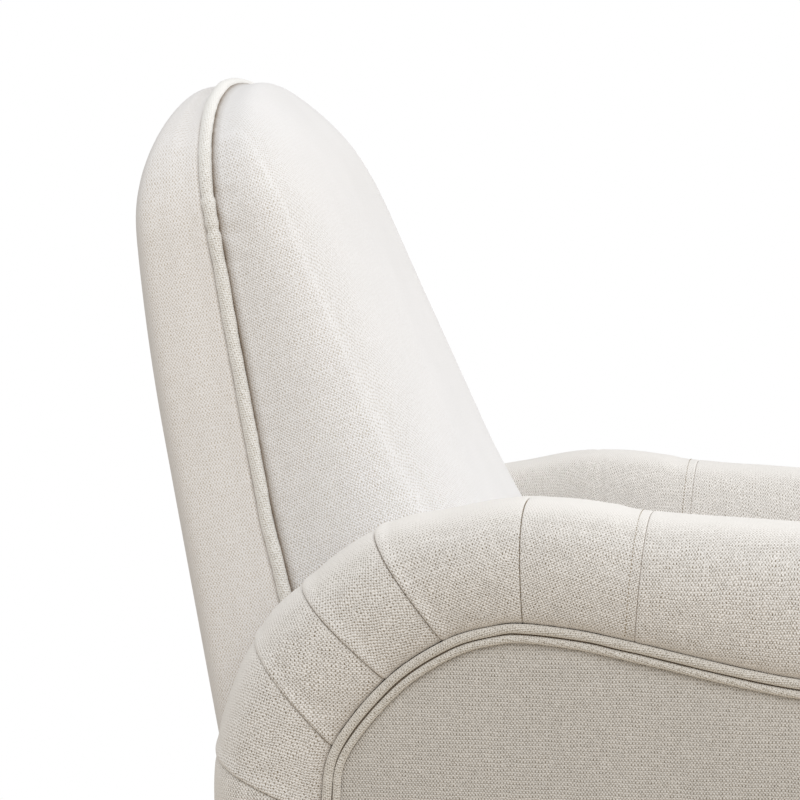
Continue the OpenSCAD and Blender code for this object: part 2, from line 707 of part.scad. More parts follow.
// Right half of the back's outline at one inset, from the foot up to the crest, which is lowered by drop
function half_outline(inset, foot, drop) =
    let (a = back_half - inset, top = crest_h - drop, shoulder = crest_h - shoulder_h,
        rise = top - shoulder)
    concat([for (k = [0 : 5]) [a, foot + (shoulder - foot) * k / 6]],
        [for (k = [0 : 8]) let (t = 10 * k)
            [a * pow(cos(t), 2 / arch_power), shoulder + rise * pow(sin(t), 2 / arch_power)]]);

// Whole outline, anticlockwise seen from the front
function back_outline(inset, foot, crest_part = 1) =
    let (drop = crest_part * inset, half = half_outline(inset, foot, drop))
    concat(half, [[0, crest_h - drop]], [for (p = backwards(half)) [-p[0], p[1]]]);

// The smaller of two values, with a rounded change from one to the other
function soft_min(a, b, round) = (a + b - sqrt(pow(a - b, 2) + round * round)) / 2;

// Depth of the padding in front of the back plane: upright below, leaning above, rolled back at the crest
function pad_depth(h) = soft_min(
    (back_y0 + h * sin(back_lean) - lumbar_y) / cos(back_lean),
    lumbar_d - (h - lumbar_h) * lumbar_slope,
    lumbar_round) - 20 * pow(max(0, h - crest_h + 86) / 85, 2);

// 0 near the seat, where the front is nearly flat from side to side, and 1 above, where it is crowned
function crown_share(h) = let (t = min(1, max(0, (h - lumbar_h + 40) / 220))) t * t * (3 - 2 * t);

// Depth of the wrapped outside back behind the back plane
function wrap_depth(h) = shell_d - 17 * pow(max(0, h - crest_h + 321) / 205, 2);

module back_cushion() color(linen) on_back() {
    foot_z = cushion_z + 2;
    foot_y = -pad_depth(level_h(foot_z, -lumbar_d * 0.9));
    seam = [for (s = pad_lip)
        [for (p = back_outline(s[1], level_h(foot_z, s[0]))) [p[0], s[0], p[1]]]];
    body = [for (s = pad_rings)
        let (foot = level_h(foot_z, -edge_d + s[0] * (foot_y + edge_d)) + max(0, s[1]),
            low = back_outline(s[1], foot), high = back_outline(s[2], foot, crest_share))
        [for (i = [0 : len(low) - 1]) let (p = low[i] + crown_share(low[i][1]) * (high[i] - low[i]))
            [p[0], -edge_d - s[0] * (pad_depth(p[1]) - edge_d), p[1]]]];
    rim = body[len(body) - 1];
    face = [for (k = [0.6, 0.1])
        [for (p = rim) let (h = lumbar_h + k * (p[2] - lumbar_h))
            [k * p[0], -edge_d - (1 - 0.04 * k) * (pad_depth(h) - edge_d), h]]];
    loft(concat(seam, body, face));
}

module outside_back() color(linen) on_back() {
    y0 = back_board_t + 1;
    inner = [[for (p = back_outline(6, level_h(hem_z, y0))) [p[0], y0, p[1]]]];
    body = [for (s = wrap_rings)
        [for (p = back_outline(s[1], level_h(hem_z, y0 + s[0] * (shell_d - y0)) + s[1]))
            [p[0], y0 + 6 + s[0] * (wrap_depth(p[1]) - y0 - 6), p[1]]]];
    loft(backwards(concat(inner, body)));
}

// The welt runs up one side, over the crest and down the other side
module back_welt() color(linen) on_back() {
    line = back_outline(welt_inset, level_h(hem_z + 20, 0));
    n = len(line) - 1;
    loft([for (i = [0 : n]) let (along = unit(line[min(i + 1, n)] - line[max(i - 1, 0)]),
        out = [along[1], -along[0]])
        [for (k = [0 : 7]) let (a = 45 * k, c = line[i] + welt_r * cos(a) * out)
            [c[0], welt_r * sin(a), c[1]]]]);
}

module back_post() color(timber) difference() {
    on_back() translate([frame_half - post_w, 0.5, post_foot_h])
        cube([post_w, back_board_t, post_head_h - post_foot_h]);
    for (z = back_screw_zs) back_screw_hole(z, thread_fit);
}
module back_post_left() back_post();
module back_post_right() on_right() back_post();

// Where a screw along Y ends in a post
function screw_end(z) = back_y0 + z * tan(back_lean) + back_screw_reach;

module back_screw_hole(z, fit)
    translate([wedge_x + wedge_w / 2, box_rear_y, z]) rotate([-90, 0, 0])
        cylinder(d = back_screw_d + 2 * fit, h = screw_end(z) - box_rear_y + 0.5);

module back_rails() color(timber) on_back() {
    inner = frame_half - post_w;
    for (s = [[post_foot_h + 10, 80], [lumbar_h, 60]])
        translate([-inner, 0.5, s[0]]) cube([2 * inner, back_board_t, s[1]]);
    translate([0, back_board_t + 0.5, 0]) rotate([90, 0, 0]) linear_extrude(back_board_t)
        polygon(concat([[frame_half, post_head_h]],
            [for (p = back_outline(frame_inset, 0)) if (p[1] > post_head_h + 1) p],
            [[-frame_half, post_head_h]]));
}

// Straps across the front of the posts
module back_webbing() color(black_cloth) on_back() {
    straps = 5;
    first = 350;
    for (i = [0 : straps - 1])
        translate([-frame_half + 8, -web_t + 0.3, first + i * (post_head_h - first - 60) / (straps - 1)])
            cube([2 * frame_half - 16, web_t, 50]);
}

module back_wedges() color(timber) both_sides() difference() {
    foot = rail_top + 15;
    front = box_rear_y + 0.1;
    rear = [for (z = [foot, wedge_top]) back_y0 + z * tan(back_lean) + 0.1];
    along_x(wedge_x) linear_extrude(wedge_w)
        polygon([[front, foot], [rear[0], foot], [rear[1], wedge_top], [front, wedge_top]]);
    for (z = back_screw_zs) back_screw_hole(z, bolt_fit);
}

module back_screws() color(zinc) both_sides() for (z = back_screw_zs)
    translate([wedge_x + wedge_w / 2, box_rear_y - board_t, z]) rotate([-90, 0, 0]) union() {
        translate([0, 0, -6 - seat_gap]) cylinder(d = 12, h = 6);
        translate([0, 0, -3]) cylinder(d = back_screw_d, h = 3 + screw_end(z) - box_rear_y + board_t);
    }

// ---------- drawing ----------

base_ring();
base_spokes();
floor_glides();
swivel_lower_plate();
plate_bolts();
ball_cage();
bearing_balls();
king_bolt();
king_nut();
swivel_upper_plate();
turntable_bars();
turntable_channels();
hanger_uprights();
upper_pivot_pins();
upper_pivot_nuts();
bar_bolts();
bump_stops();
front_link_plates();
front_link_bearings();
rear_link_plates();
rear_link_bearings();
glide_rail_left();
glide_rail_right();
cross_tubes();
lower_pivot_pins();
lower_pivot_nuts();
rail_screws();
box_side_left();
box_side_right();
box_front();
box_back();
corner_blocks();
seat_springs();
spring_clips();
seat_deck();
seat_cushion();
front_apron();
dust_cover();
arm_board_left();
arm_board_right();
arm_posts_left();
arm_posts_right();
arm_roll_left();
arm_roll_right();
side_panel_left();
side_panel_right();
arm_pad_left();
arm_pad_right();
double_welt_left();
double_welt_right();
arm_bolts();
back_post_left();
back_post_right();
back_rails();
back_webbing();
back_wedges();
back_screws();
back_cushion();
outside_back();
back_welt();
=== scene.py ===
import json
import math
import bpy
import numpy as np
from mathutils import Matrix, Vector


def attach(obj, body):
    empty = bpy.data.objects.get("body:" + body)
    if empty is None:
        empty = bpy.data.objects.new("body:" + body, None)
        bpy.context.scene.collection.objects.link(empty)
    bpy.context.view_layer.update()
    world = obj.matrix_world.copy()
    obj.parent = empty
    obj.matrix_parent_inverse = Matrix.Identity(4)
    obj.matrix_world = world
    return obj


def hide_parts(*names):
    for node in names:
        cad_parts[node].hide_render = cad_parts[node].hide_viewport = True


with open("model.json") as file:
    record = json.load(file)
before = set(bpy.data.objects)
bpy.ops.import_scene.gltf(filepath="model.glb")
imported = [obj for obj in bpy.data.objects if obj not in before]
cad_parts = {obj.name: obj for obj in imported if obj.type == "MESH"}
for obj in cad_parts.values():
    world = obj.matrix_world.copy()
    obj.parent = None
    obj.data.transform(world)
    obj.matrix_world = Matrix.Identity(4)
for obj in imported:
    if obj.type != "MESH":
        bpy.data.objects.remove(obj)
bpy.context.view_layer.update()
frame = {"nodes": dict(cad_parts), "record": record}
scene = bpy.context.scene
MM = 0.001

# ---------- camera ----------

CAMERA_PLACE = (-2.870, -0.190, 0.845)
CAMERA_AIM = (1.0, 0.1649, -0.0527)
CAMERA_LENS = 134.1


def aimed(name, data, place, way):
    """Adds a camera or a lamp at a place, looking along way."""
    obj = bpy.data.objects.new(name, data)
    scene.collection.objects.link(obj)
    obj.location = place
    obj.rotation_mode = "QUATERNION"
    obj.rotation_quaternion = Vector(way).to_track_quat("-Z", "Y")
    return obj


camera_data = bpy.data.cameras.new("camera")
camera_data.lens = CAMERA_LENS
camera_data.sensor_width = 36.0
camera_data.clip_start, camera_data.clip_end = 0.05, 100.0
scene.camera = aimed("camera", camera_data, CAMERA_PLACE, CAMERA_AIM)

# ---------- small tools for meshes ----------


def only(obj):
    """Makes obj the one selected and active object."""
    bpy.ops.object.select_all(action="DESELECT")
    obj.select_set(True)
    bpy.context.view_layer.objects.active = obj


def start_from(primitive, name, **settings):
    """Adds a primitive with nothing else selected."""
    bpy.ops.object.select_all(action="DESELECT")
    primitive(**settings)
    obj = bpy.context.object
    obj.name = obj.data.name = name
    return obj


def places(obj):
    flat = np.empty(len(obj.data.vertices) * 3)
    obj.data.vertices.foreach_get("co", flat)
    return flat.reshape(-1, 3)


def put(obj, points):
    """Writes the places of all the vertices, in metres."""
    obj.data.vertices.foreach_set("co", np.asarray(points, dtype=np.float32).ravel())
    obj.data.update()


def apply_modifier(obj, kind, **settings):
    only(obj)
    modifier = obj.modifiers.new(kind.lower(), kind)
    for name, value in settings.items():
        setattr(modifier, name, value)
    bpy.ops.object.modifier_apply(modifier=modifier.name)


def edit(obj, *steps):
    """Runs edit mode operators on the whole mesh: each step is an operator and its settings."""
    only(obj)
    bpy.ops.object.mode_set(mode="EDIT")
    for operator, settings in steps:
        bpy.ops.mesh.select_all(action="SELECT")
        operator(**settings)
    bpy.ops.object.mode_set(mode="OBJECT")


def smooth(obj):
    only(obj)
    bpy.ops.object.shade_smooth()
    return obj


def corner_points(obj):
    """The number of the vertex at each corner of each face."""
    corner = np.empty(len(obj.data.loops), dtype=np.int32)
    obj.data.loops.foreach_get("vertex_index", corner)
    return corner


def write_map(obj, flat, name="UVMap"):
    """Lays a flat map on the mesh: flat is in millimetres, one row for each corner of each face."""
    layer = obj.data.uv_layers.get(name) or obj.data.uv_layers.new(name=name)
    layer.data.foreach_set("uv", (flat * MM).astype(np.float32).ravel())


def write_mark(obj, name, values):
    """Writes one number for each vertex, for the materials to read."""
    layer = obj.data.attributes.new(name, "FLOAT", "POINT")
    layer.data.foreach_set("value", values.astype(np.float32))


def spun(u, v, angle):
    """A flat map whose threads are turned by an angle, in degrees."""
    c, s = np.cos(np.radians(angle)), np.sin(np.radians(angle))
    return np.stack([c * u + s * v, -s * u + c * v], axis=-1)


def cloth_grid(name, points, uv, turn=None, **marks):
    """A closed skin of quads. points and uv hold rows of columns, in mm. turn gives each column of faces its
    own turn of the weave, in degrees, and its stretch across and along. marks tell, from 0 to 1, how deep in a
    seam or fold a point lies, which is how much painted shade it gets, or how far its cloth is stretched
    (eased)."""
    rows, columns = points.shape[:2]
    obj = start_from(bpy.ops.mesh.primitive_grid_add, name, size=2,
                     x_subdivisions=columns - 1, y_subdivisions=rows - 1)
    co = places(obj)
    column = np.rint((co[:, 0] + 1) / 2 * (columns - 1)).astype(int)
    row = np.rint((co[:, 1] + 1) / 2 * (rows - 1)).astype(int)
    put(obj, points[row, column] * MM)
    corner = corner_points(obj)
    flat = uv[row, column][corner]
    if turn is not None:
        face_column = column[corner].reshape(-1, 4).min(axis=1).repeat(4)
        flat = spun(flat[:, 0], flat[:, 1], turn[face_column, 0]) / turn[face_column, 1:]
    write_map(obj, flat)
    for mark, values in marks.items():
        write_mark(obj, mark, np.broadcast_to(values, (rows, columns))[row, column])
    edit(obj, (bpy.ops.mesh.remove_doubles, {"threshold": 1e-6}),
         (bpy.ops.mesh.fill_holes, {"sides": 0}),
         (bpy.ops.mesh.normals_make_consistent, {"inside": False}))
    return smooth(obj)


def unit(v):
    """The same directions, each one long."""
    return v / np.linalg.norm(v, axis=-1, keepdims=True)


def spline(points, per_span=40):
    """A smooth curve through all the points, as an array."""
    p = np.asarray(points, dtype=float)
    ends = np.vstack([p[:1], p, p[-1:]])
    t = np.arange(per_span)[:, None] / per_span
    parts = []
    for k in range(len(p) - 1):
        a, b, c, d = ends[k:k + 4]
        parts.append(0.5 * (2 * b + (c - a) * t + (2 * a - 5 * b + 4 * c - d) * t**2
                            + (3 * b - a - 3 * c + d) * t**3))
    return np.vstack(parts + [p[-1:]])


def run_length(line):
    """How far along the line each of its points lies."""
    return np.concatenate([[0], np.cumsum(np.linalg.norm(np.diff(line, axis=0), axis=1))])


def sample(values, length, at):
    """Values known at some lengths along a line, read at others."""
    return np.stack([np.interp(at, length, column) for column in values.T], axis=-1)


def even(line, step):
    """The same line with points at even steps."""
    length = run_length(line)
    return sample(line, length, np.linspace(0, length[-1], max(2, int(round(length[-1] / step)) + 1)))


def beside(x, line):
    """The places of a line of (y, z) points that stands at one x."""
    return np.concatenate([np.full((len(line), 1), x), line], axis=1)


def wobble(p, wavelength, seed):
    """A smooth uneven field from -1 to 1 over points p, the same on each run."""
    total = np.zeros(p.shape[:-1])
    for k in range(6):
        a, b = 2.4 * k + seed, 1.3 * k + seed
        d = np.array([math.cos(a) * math.cos(b), math.sin(a), math.cos(a) * math.sin(b)])
        total += np.sin(p @ d * (2 * math.pi / wavelength) * (0.7 + 0.13 * k) + 7.1 * k * seed)
    return total / 6 * 1.6


def ease(a, b, x):
    """0 below a, 1 above b, and smooth between them."""
    t = np.clip((np.asarray(x, dtype=float) - a) / (b - a), 0, 1)
    return t * t * (3 - 2 * t)


def cord(name, path, out, radius, bias=45.0, sides=14, flat=1.0, waist=1.0, dark=0.8, loop=False):
    """A round cord along path, its cloth cut on the bias. out is the way its first side faces. flat squeezes it
    along out, and waist scales it at each point. dark is how much painted shade browns its far side, down in
    the seam. The path of a loop ends where it starts."""
    along = np.gradient(path, axis=0)
    if loop:
        along = np.roll(path[:-1], -1, axis=0) - np.roll(path[:-1], 1, axis=0)
        along = np.vstack([along, along[:1]])
    along = unit(along)
    n = np.broadcast_to(np.asarray(out, dtype=float), path.shape)
    n = unit(n - (n * along).sum(axis=1)[:, None] * along)
    b = np.cross(along, n)
    angle = np.linspace(0, 2 * math.pi, sides + 1)[:, None, None]
    size = radius * np.broadcast_to(waist, len(path))[None, :, None]
    points = path[None] + size * (flat * np.cos(angle) * n[None] + np.sin(angle) * b[None])
    s = np.broadcast_to(run_length(path)[None], points.shape[:2])
    w = np.broadcast_to(angle[:, :, 0] * radius, points.shape[:2])
    # its far side, down in the seam, gets painted shade
    return cloth_grid(name, points, spun(s, w, bias), tucked=dark * ease(0.1, -0.65, np.cos(angle[:, :, 0])))


def join(name, parts):
    only(parts[0])
    for part in parts[1:]:
        part.select_set(True)
    bpy.ops.object.join()
    parts[0].name = parts[0].data.name = name
    return parts[0]


def mirrored(obj, name):
    """A copy on the other side of the plane X = 0, with its own mesh."""
    twin = obj.copy()
    twin.data = obj.data.copy()
    twin.name = twin.data.name = name
    scene.collection.objects.link(twin)
    put(twin, places(twin) * (-1, 1, 1))
    twin.data.flip_normals()
    return twin


def dress(obj, material, body="seat", replaces=()):
    """Gives a finished piece its material, its body and the CAD nodes that it stands for."""
    obj.data.materials.clear()
    obj.data.materials.append(material)
    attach(obj, body)
    if replaces:
        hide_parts(*replaces)


# ---------- small tools for materials ----------

FIRST, SECOND, MIXED = 6, 7, 2      # the Mix node's two colours and its result


def sheet_colour(code):
    """An sRGB colour such as #EDE7DD as Blender's linear colour."""
    values = [int(code[k:k + 2], 16) / 255 for k in (1, 3, 5)]
    return tuple(v / 12.92 if v <= 0.04045 else ((v + 0.055) / 1.055)**2.4 for v in values) + (1.0,)


def feed(node, links):
    """Fills a node's inputs with plain values, outputs of other nodes, or nodes, for their first output."""
    for name, value in links.items():
        if isinstance(value, bpy.types.Node):
            value = value.outputs[0]
        if isinstance(value, bpy.types.NodeSocket):
            node.id_data.links.new(value, node.inputs[name])
        else:
            node.inputs[name].default_value = value


def add(tree, kind, links=None, **settings):
    """Adds a node with its own choices, and fills its inputs."""
    node = tree.nodes.new("ShaderNode" + kind)
    for name, value in settings.items():
        setattr(node, name, value)
    feed(node, links or {})
    return node


def finish(name, **settings):
    """A new material, its surface shader with some plain values, and the places its patterns are made on."""
    material = bpy.data.materials.new(name)
    material.use_nodes = True
    tree = material.node_tree
    shader = tree.nodes["Principled BSDF"]
    feed(shader, {socket.replace("_", " "): value for socket, value in settings.items()})
    return material, tree, shader, add(tree, "TexCoord").outputs["Object"]


def two_tone(shader, share, first, second, bump=None, high=0.0):
    """Colours a surface between two shades, as share tells from 0 to 1. bump is a pattern and high its mm."""
    tree = shader.id_data
    shades = {0: share, FIRST: sheet_colour(first), SECOND: sheet_colour(second)}
    feed(shader, {"Base Color": add(tree, "Mix", shades, data_type="RGBA").outputs[MIXED]})
    if bump is not None:
        feed(shader, {"Normal": add(tree, "Bump", {"Height": bump, "Distance": high * MM})})


# ---------- cloth ----------

THREAD_ACROSS = 1.365   # mm between neighbouring warp threads
THREAD_UP = 1.845       # mm between neighbouring weft threads
SLUBS = (((0.10, 0.42, 1.0), 0.7), ((0.55, 0.08, 1.0), 0.9), ((0.9, 0.7, 1.0), 2.0))


def plain_weave(tree, flat, wander, uneven):
    """The height of a loose plain weave over a laid-flat map: a dot where each thread comes up, a pit between
    four dots, and threads that run thick and thin."""
    mm = add(tree, "VectorMath", {0: flat, "Scale": 1000.0}, operation="SCALE")
    # the threads wander by about a millimetre over 20 to 30 mm
    sway = add(tree, "TexNoise", {"Vector": mm, "Scale": 0.045, "Detail": 3.0, "Roughness": 0.6})
    off = add(tree, "VectorMath", {0: sway.outputs["Color"], 1: (0.5, 0.5, 0.5)}, operation="SUBTRACT")
    most = (6.0 * wander, 6.0 * wander, 0.0)
    mm = add(tree, "VectorMath", {0: off, 1: most, 2: mm}, operation="MULTIPLY_ADD")
    part = add(tree, "SeparateXYZ", {0: mm})
    waves = []
    for axis, rate in ((0, math.pi / THREAD_ACROSS), (1, math.pi / THREAD_UP), (1, 2 * math.pi / THREAD_UP)):
        turn = add(tree, "Math", {0: part.outputs[axis], 1: rate}, operation="MULTIPLY")
        waves.append(add(tree, "Math", {0: turn}, operation="COSINE"))
    height = add(tree, "Math", {0: waves[0], 1: waves[1]}, operation="MULTIPLY")
    for wave, share in ((waves[0], 0.13), (waves[2], 0.3)):
        height = add(tree, "Math", {0: wave, 1: share, 2: height}, operation="MULTIPLY_ADD")
    # thick and thin threads: each keeps its thickness for 10 to 20 mm
    for squeeze, much in SLUBS:
        stretched = add(tree, "VectorMath", {0: mm, 1: squeeze}, operation="MULTIPLY")
        slub = add(tree, "TexNoise", {"Vector": stretched, "Scale": 1.0, "Detail": 1.0})
        lift = add(tree, "Math", {0: slub, 1: 0.5}, operation="SUBTRACT")
        height = add(tree, "Math", {0: lift, 1: much * uneven, 2: height}, operation="MULTIPLY_ADD")
    return height


def linen_look(name, thread, pit, relief, wander=1.0, uneven=0.6, turned=False):
    """Linen-look polyester upholstery cloth in a loose plain weave, piece dyed a warm off-white.
    It looks matt and dry, with a light dot where each thread comes up, a small brown pit between four dots, and
    a pale fuzz at glancing angles. relief is the height of a thread in mm. A turned cloth has a second map for
    where it goes round to the side, and one weave fades into the other there."""
    material, tree, shader, place = finish(name, Roughness=0.92, Sheen_Weight=0.10, Sheen_Roughness=0.45,
                                           Specular_IOR_Level=0.25)
    height = plain_weave(tree, add(tree, "UVMap", uv_map="UVMap"), wander, uneven)
    if turned:
        side = plain_weave(tree, add(tree, "UVMap", uv_map="side_map"), wander, uneven)
        share = add(tree, "Attribute", attribute_name="sideways").outputs["Fac"]
        height = add(tree, "Mix", {0: share, 2: height, 3: side}, data_type="FLOAT")
    # at glancing angles the threads and their fuzz hide the pits between them
    glance = add(tree, "LayerWeight", {"Blend": 0.5}).outputs["Facing"]
    seen = add(tree, "MapRange", {"Value": glance, "From Min": 0.08, "From Max": 0.88,
                                  "To Min": 1.0, "To Max": 0.1}, interpolation_type="SMOOTHSTEP")
    # where the cloth is stretched the pits close up
    eased = add(tree, "Attribute", attribute_name="eased").outputs["Fac"]
    open_pits = add(tree, "Math", {0: eased, 1: -0.2, 2: 1.0}, operation="MULTIPLY_ADD")
    seen = add(tree, "Math", {0: seen, 1: open_pits}, operation="MULTIPLY")
    deep = add(tree, "MapRange", {"Value": height, "From Min": -1.15, "From Max": 0.1,
                                  "To Min": 1.0, "To Max": 0.0}, interpolation_type="SMOOTHSTEP")
    deep = add(tree, "Math", {0: deep, 1: seen}, operation="MULTIPLY")
    # down in seams and folds the cloth's colour is painted brown: painted shade in the crevices
    tucked = add(tree, "Attribute", attribute_name="tucked").outputs["Fac"]
    colour = sheet_colour(thread)
    for share, other in ((deep, pit), (tucked, "#7B6852")):
        mix = add(tree, "Mix", {0: share, FIRST: colour, SECOND: sheet_colour(other)}, data_type="RGBA")
        colour = mix.outputs[MIXED]
    # dye and handling leave patches a hand wide that are a little lighter or darker
    patch = add(tree, "TexNoise", {"Vector": place, "Scale": 14.0, "Detail": 2.0})
    tone = add(tree, "MapRange", {"Value": patch, "To Min": 0.96, "To Max": 1.03})
    feed(shader, {
        "Base Color": add(tree, "VectorMath", {0: colour, "Scale": tone}, operation="SCALE"),
        "Normal": add(tree, "Bump", {"Height": height, "Distance": relief * MM, "Strength": seen})})
    return material


linen = linen_look("linen_look_upholstery_cloth", "#F8F5F1", "#7E7057", 0.40)
# the panel's cloth: a little tighter weave, and thread colours painted darker as shade below the overhanging
# roll
panel_linen_shaded = linen_look("linen_look_panel_cloth", "#E5E1DB", "#7B7160", 0.42, wander=0.6, uneven=0.5)
soft_linen = linen_look("linen_look_stretched_cloth", "#F1F0F0", "#BBB1A2", 0.22, turned=True)
rear_linen = linen_look("linen_look_outside_back_cloth", "#F2F0EF", "#C2B7A6", 0.10, turned=True)
welt_linen = linen_look("linen_look_bias_cut_cloth", "#EBE7E0", "#8F8471", 0.36, wander=0.5)
rear_welt_linen = linen_look("linen_look_back_welt_cloth", "#F9F8F5", "#BBB09E", 0.26, wander=0.5, uneven=0.7)


def stitch_thread():
    """Bonded polyester sewing thread, two ply: a smooth, slightly shiny cord that sinks into the cloth. Its
    brown is painted shade where it sinks in.
    """
    material, tree, shader, place = finish("bonded_polyester_thread", Roughness=0.55, Sheen_Weight=0.1)
    ply = add(tree, "TexWave", {"Vector": place, "Scale": 900.0}, bands_direction="DIAGONAL")
    two_tone(shader, ply.outputs["Fac"], "#7A6B56", "#A8997F")
    return material


def black_cloth():
    """Spun-bonded polypropylene, the black lining under seats: dull, with a fine web of pressed fibres."""
    material, tree, shader, place = finish("spun_bonded_lining", Roughness=0.85, Sheen_Weight=0.2)
    web = add(tree, "TexVoronoi", {"Vector": place, "Scale": 450.0}, feature="DISTANCE_TO_EDGE")
    shade = add(tree, "MapRange", {"Value": web, "From Max": 0.25})
    two_tone(shader, shade, "#2B2B2D", "#1B1B1D", shade, 0.1)
    return material


def elastic_strap():
    """Woven elastic webbing: rubber cores wrapped in black yarn, with ribs 3 mm apart and a dull surface."""
    material, tree, shader, place = finish("woven_elastic_webbing", Roughness=0.8, Sheen_Weight=0.15)
    ribs = [add(tree, "TexWave", {"Vector": place, "Scale": 52.0, "Distortion": 0.4}, bands_direction=way)
            for way in ("X", "Z")]
    rib = add(tree, "Math", {k: wave.outputs["Fac"] for k, wave in enumerate(ribs)}, operation="MULTIPLY")
    two_tone(shader, rib, "#1A1A1B", "#454548", rib, 0.4)
    return material


# ---------- metal, plastic and wood ----------


def grained(name, grain, detail, first, second, rough, metallic=0.0, skin=None):
    """A hard surface whose tint and roughness drift over a noise with so many grains a metre. rough is the
    range of its roughness. skin is the texture on it: its grains a metre, detail and height in mm."""
    material, tree, shader, place = finish(name, Metallic=metallic)
    drift = add(tree, "TexNoise", {"Vector": place, "Scale": grain, "Detail": detail})
    if skin:
        peel = add(tree, "TexNoise", {"Vector": place, "Scale": skin[0], "Detail": skin[1]})
        two_tone(shader, drift, first, second, peel, skin[2])
    else:
        two_tone(shader, drift, first, second)
    feed(shader, {"Roughness": add(tree, "MapRange", {"Value": drift, "To Min": rough[0], "To Max": rough[1]})})
    return material


def planed_wood(name, late, early, ring, along):
    """Unfinished wood: dull, with growth lines ring mm apart along one axis and short dark pores between."""
    material, tree, shader, place = finish(name, Roughness=0.68)
    squeeze = [1000.0, 1000.0, 1000.0]
    squeeze[along] = 60.0
    mm = add(tree, "VectorMath", {0: place, 1: squeeze}, operation="MULTIPLY")
    lines = add(tree, "TexNoise", {"Vector": mm, "Scale": 1.0 / ring, "Detail": 4.0, "Distortion": 0.6})
    pores = add(tree, "TexNoise", {"Vector": mm, "Scale": 1.4, "Detail": 1.0})
    pore = add(tree, "MapRange", {"Value": pores, "From Min": 0.25, "From Max": 0.42,
                                  "To Min": 0.78, "To Max": 1.0})
    shades = {0: lines, FIRST: sheet_colour(late), SECOND: sheet_colour(early)}
    colour = add(tree, "Mix", shades, data_type="RGBA")
    feed(shader, {
        "Base Color": add(tree, "VectorMath", {0: colour.outputs[MIXED], "Scale": pore}, operation="SCALE"),
        "Normal": add(tree, "Bump", {"Height": pore, "Distance": 0.2 * MM})})
    return material


FRAME_FINISHES = {
    # mild steel, powder coated satin black and baked: soft highlights with a fine orange peel 1 mm across
    "black_steel": grained("powder_coated_steel", 25.0, 5.0, "#1B1B1D", "#2C2C2E", (0.34, 0.55),
                           skin=(900.0, 2.0, 0.12)),
    # bright zinc plating on fasteners and pressed plates: pale blue-grey, faintly cloudy, slightly brushed
    "zinc_steel": grained("zinc_plated_steel", 60.0, 4.0, "#A9ADB0", "#D3D5D3", (0.24, 0.46), metallic=1.0),
    # chromium bearing steel, hardened, ground and polished: a near mirror with hair-fine turning marks
    "bearing_steel": grained("ground_bearing_steel", 700.0, 1.0, "#C2C4C6", "#DEDFE0", (0.10, 0.22),
                             metallic=1.0),
    # oil tempered spring wire: blue-grey to brown scale along the drawn wire, under a thin film of oil
    "spring_steel": grained("oil_tempered_wire", 120.0, 4.0, "#4B4A4C", "#7A746C", (0.38, 0.38), metallic=1.0),
    # injection moulded black nylon and rubber: a dull sheen on an even texture, 0.8 and 1.2 mm across
    "nylon": grained("moulded_nylon", 1000.0 / 0.8, 3.0, "#131313", "#222223", (0.55, 0.55),
                     skin=(1000.0 / 0.8, 3.0, 0.1)),
    "stop_rubber": grained("moulded_rubber", 1000.0 / 1.2, 3.0, "#0F0F0F", "#1C1C1C", (0.75, 0.75),
                           skin=(1000.0 / 1.2, 3.0, 0.1)),
    "hardwood": planed_wood("planed_beech", "#B98E5C", "#DDBB8B", 4.0, 1),
    "plywood": planed_wood("sanded_birch_plywood", "#C9A474", "#E6CDA2", 7.0, 2),
    "webbing": elastic_strap(),
    "lining": black_cloth(),
    "linen": linen,
    "linen_welt": welt_linen,
}
for part in frame["record"]["subparts"]:
    node = frame["nodes"][part["node"]]
    node.data.materials.clear()
    node.data.materials.append(FRAME_FINISHES[part["material_slot"]])

# ---------- arms ----------

ARM_IN, ARM_THICK, PANEL_FACE, HEM = 255.0, 115.0, 370.0, 95.0
# One row for each station along the arm, in mm: outer y, outer z, inner y, inner z
ARM_STATIONS = np.array([
    [386, 95, 289, 95], [391, 300, 291, 295], [390, 415, 290, 370], [355, 506, 279, 419], [313, 552, 234, 475],
    [250, 598, 184, 509], [191, 613, 143, 522], [119, 625, 116, 525], [50, 620, 66, 520], [12, 614, 21, 511],
    [-116, 606, -118, 483], [-255, 603, -245, 478], [-380, 580, -315, 455], [-448, 510, -348, 400],
    [-470, 410, -353, 325], [-466, 252.5, -352, 210], [-458, 95, -348, 95]], dtype=float)
LAST = len(ARM_STATIONS) - 1.0
SPAN = 40
ARM_LINES = spline(ARM_STATIONS, SPAN)
# Section of the roll: sideways place, from 1 outside to -1 inside, and height above its seat
ROLL_SECTION = [[0.98, 0.0], [1.03, 0.0], [1.075, 0.007], [1.105, 0.03], [1.13, 0.07], [1.162, 0.14],
                [1.195, 0.25], [1.22, 0.42], [1.2, 0.56], [1.11, 0.74], [0.88, 0.88], [0.5, 0.97], [0, 1],
                [-0.45, 0.985], [-0.82, 0.9], [-1, 0.72], [-1, 0.36], [-1, 0]]
ROLL_HALF, ROLL_RISE = ARM_THICK / 2 - 0.5, 112.0


def arm_at(t):
    """Outer and inner place (y, z) of the roll at stations t, which may be fractions."""
    k = np.clip(np.asarray(t, dtype=float) * SPAN, 0, len(ARM_LINES) - 1)
    low = np.minimum(k.astype(int), len(ARM_LINES) - 2)
    f = (k - low)[..., None]
    both = ARM_LINES[low] * (1 - f) + ARM_LINES[low + 1] * f
    return both[..., :2], both[..., 2:]


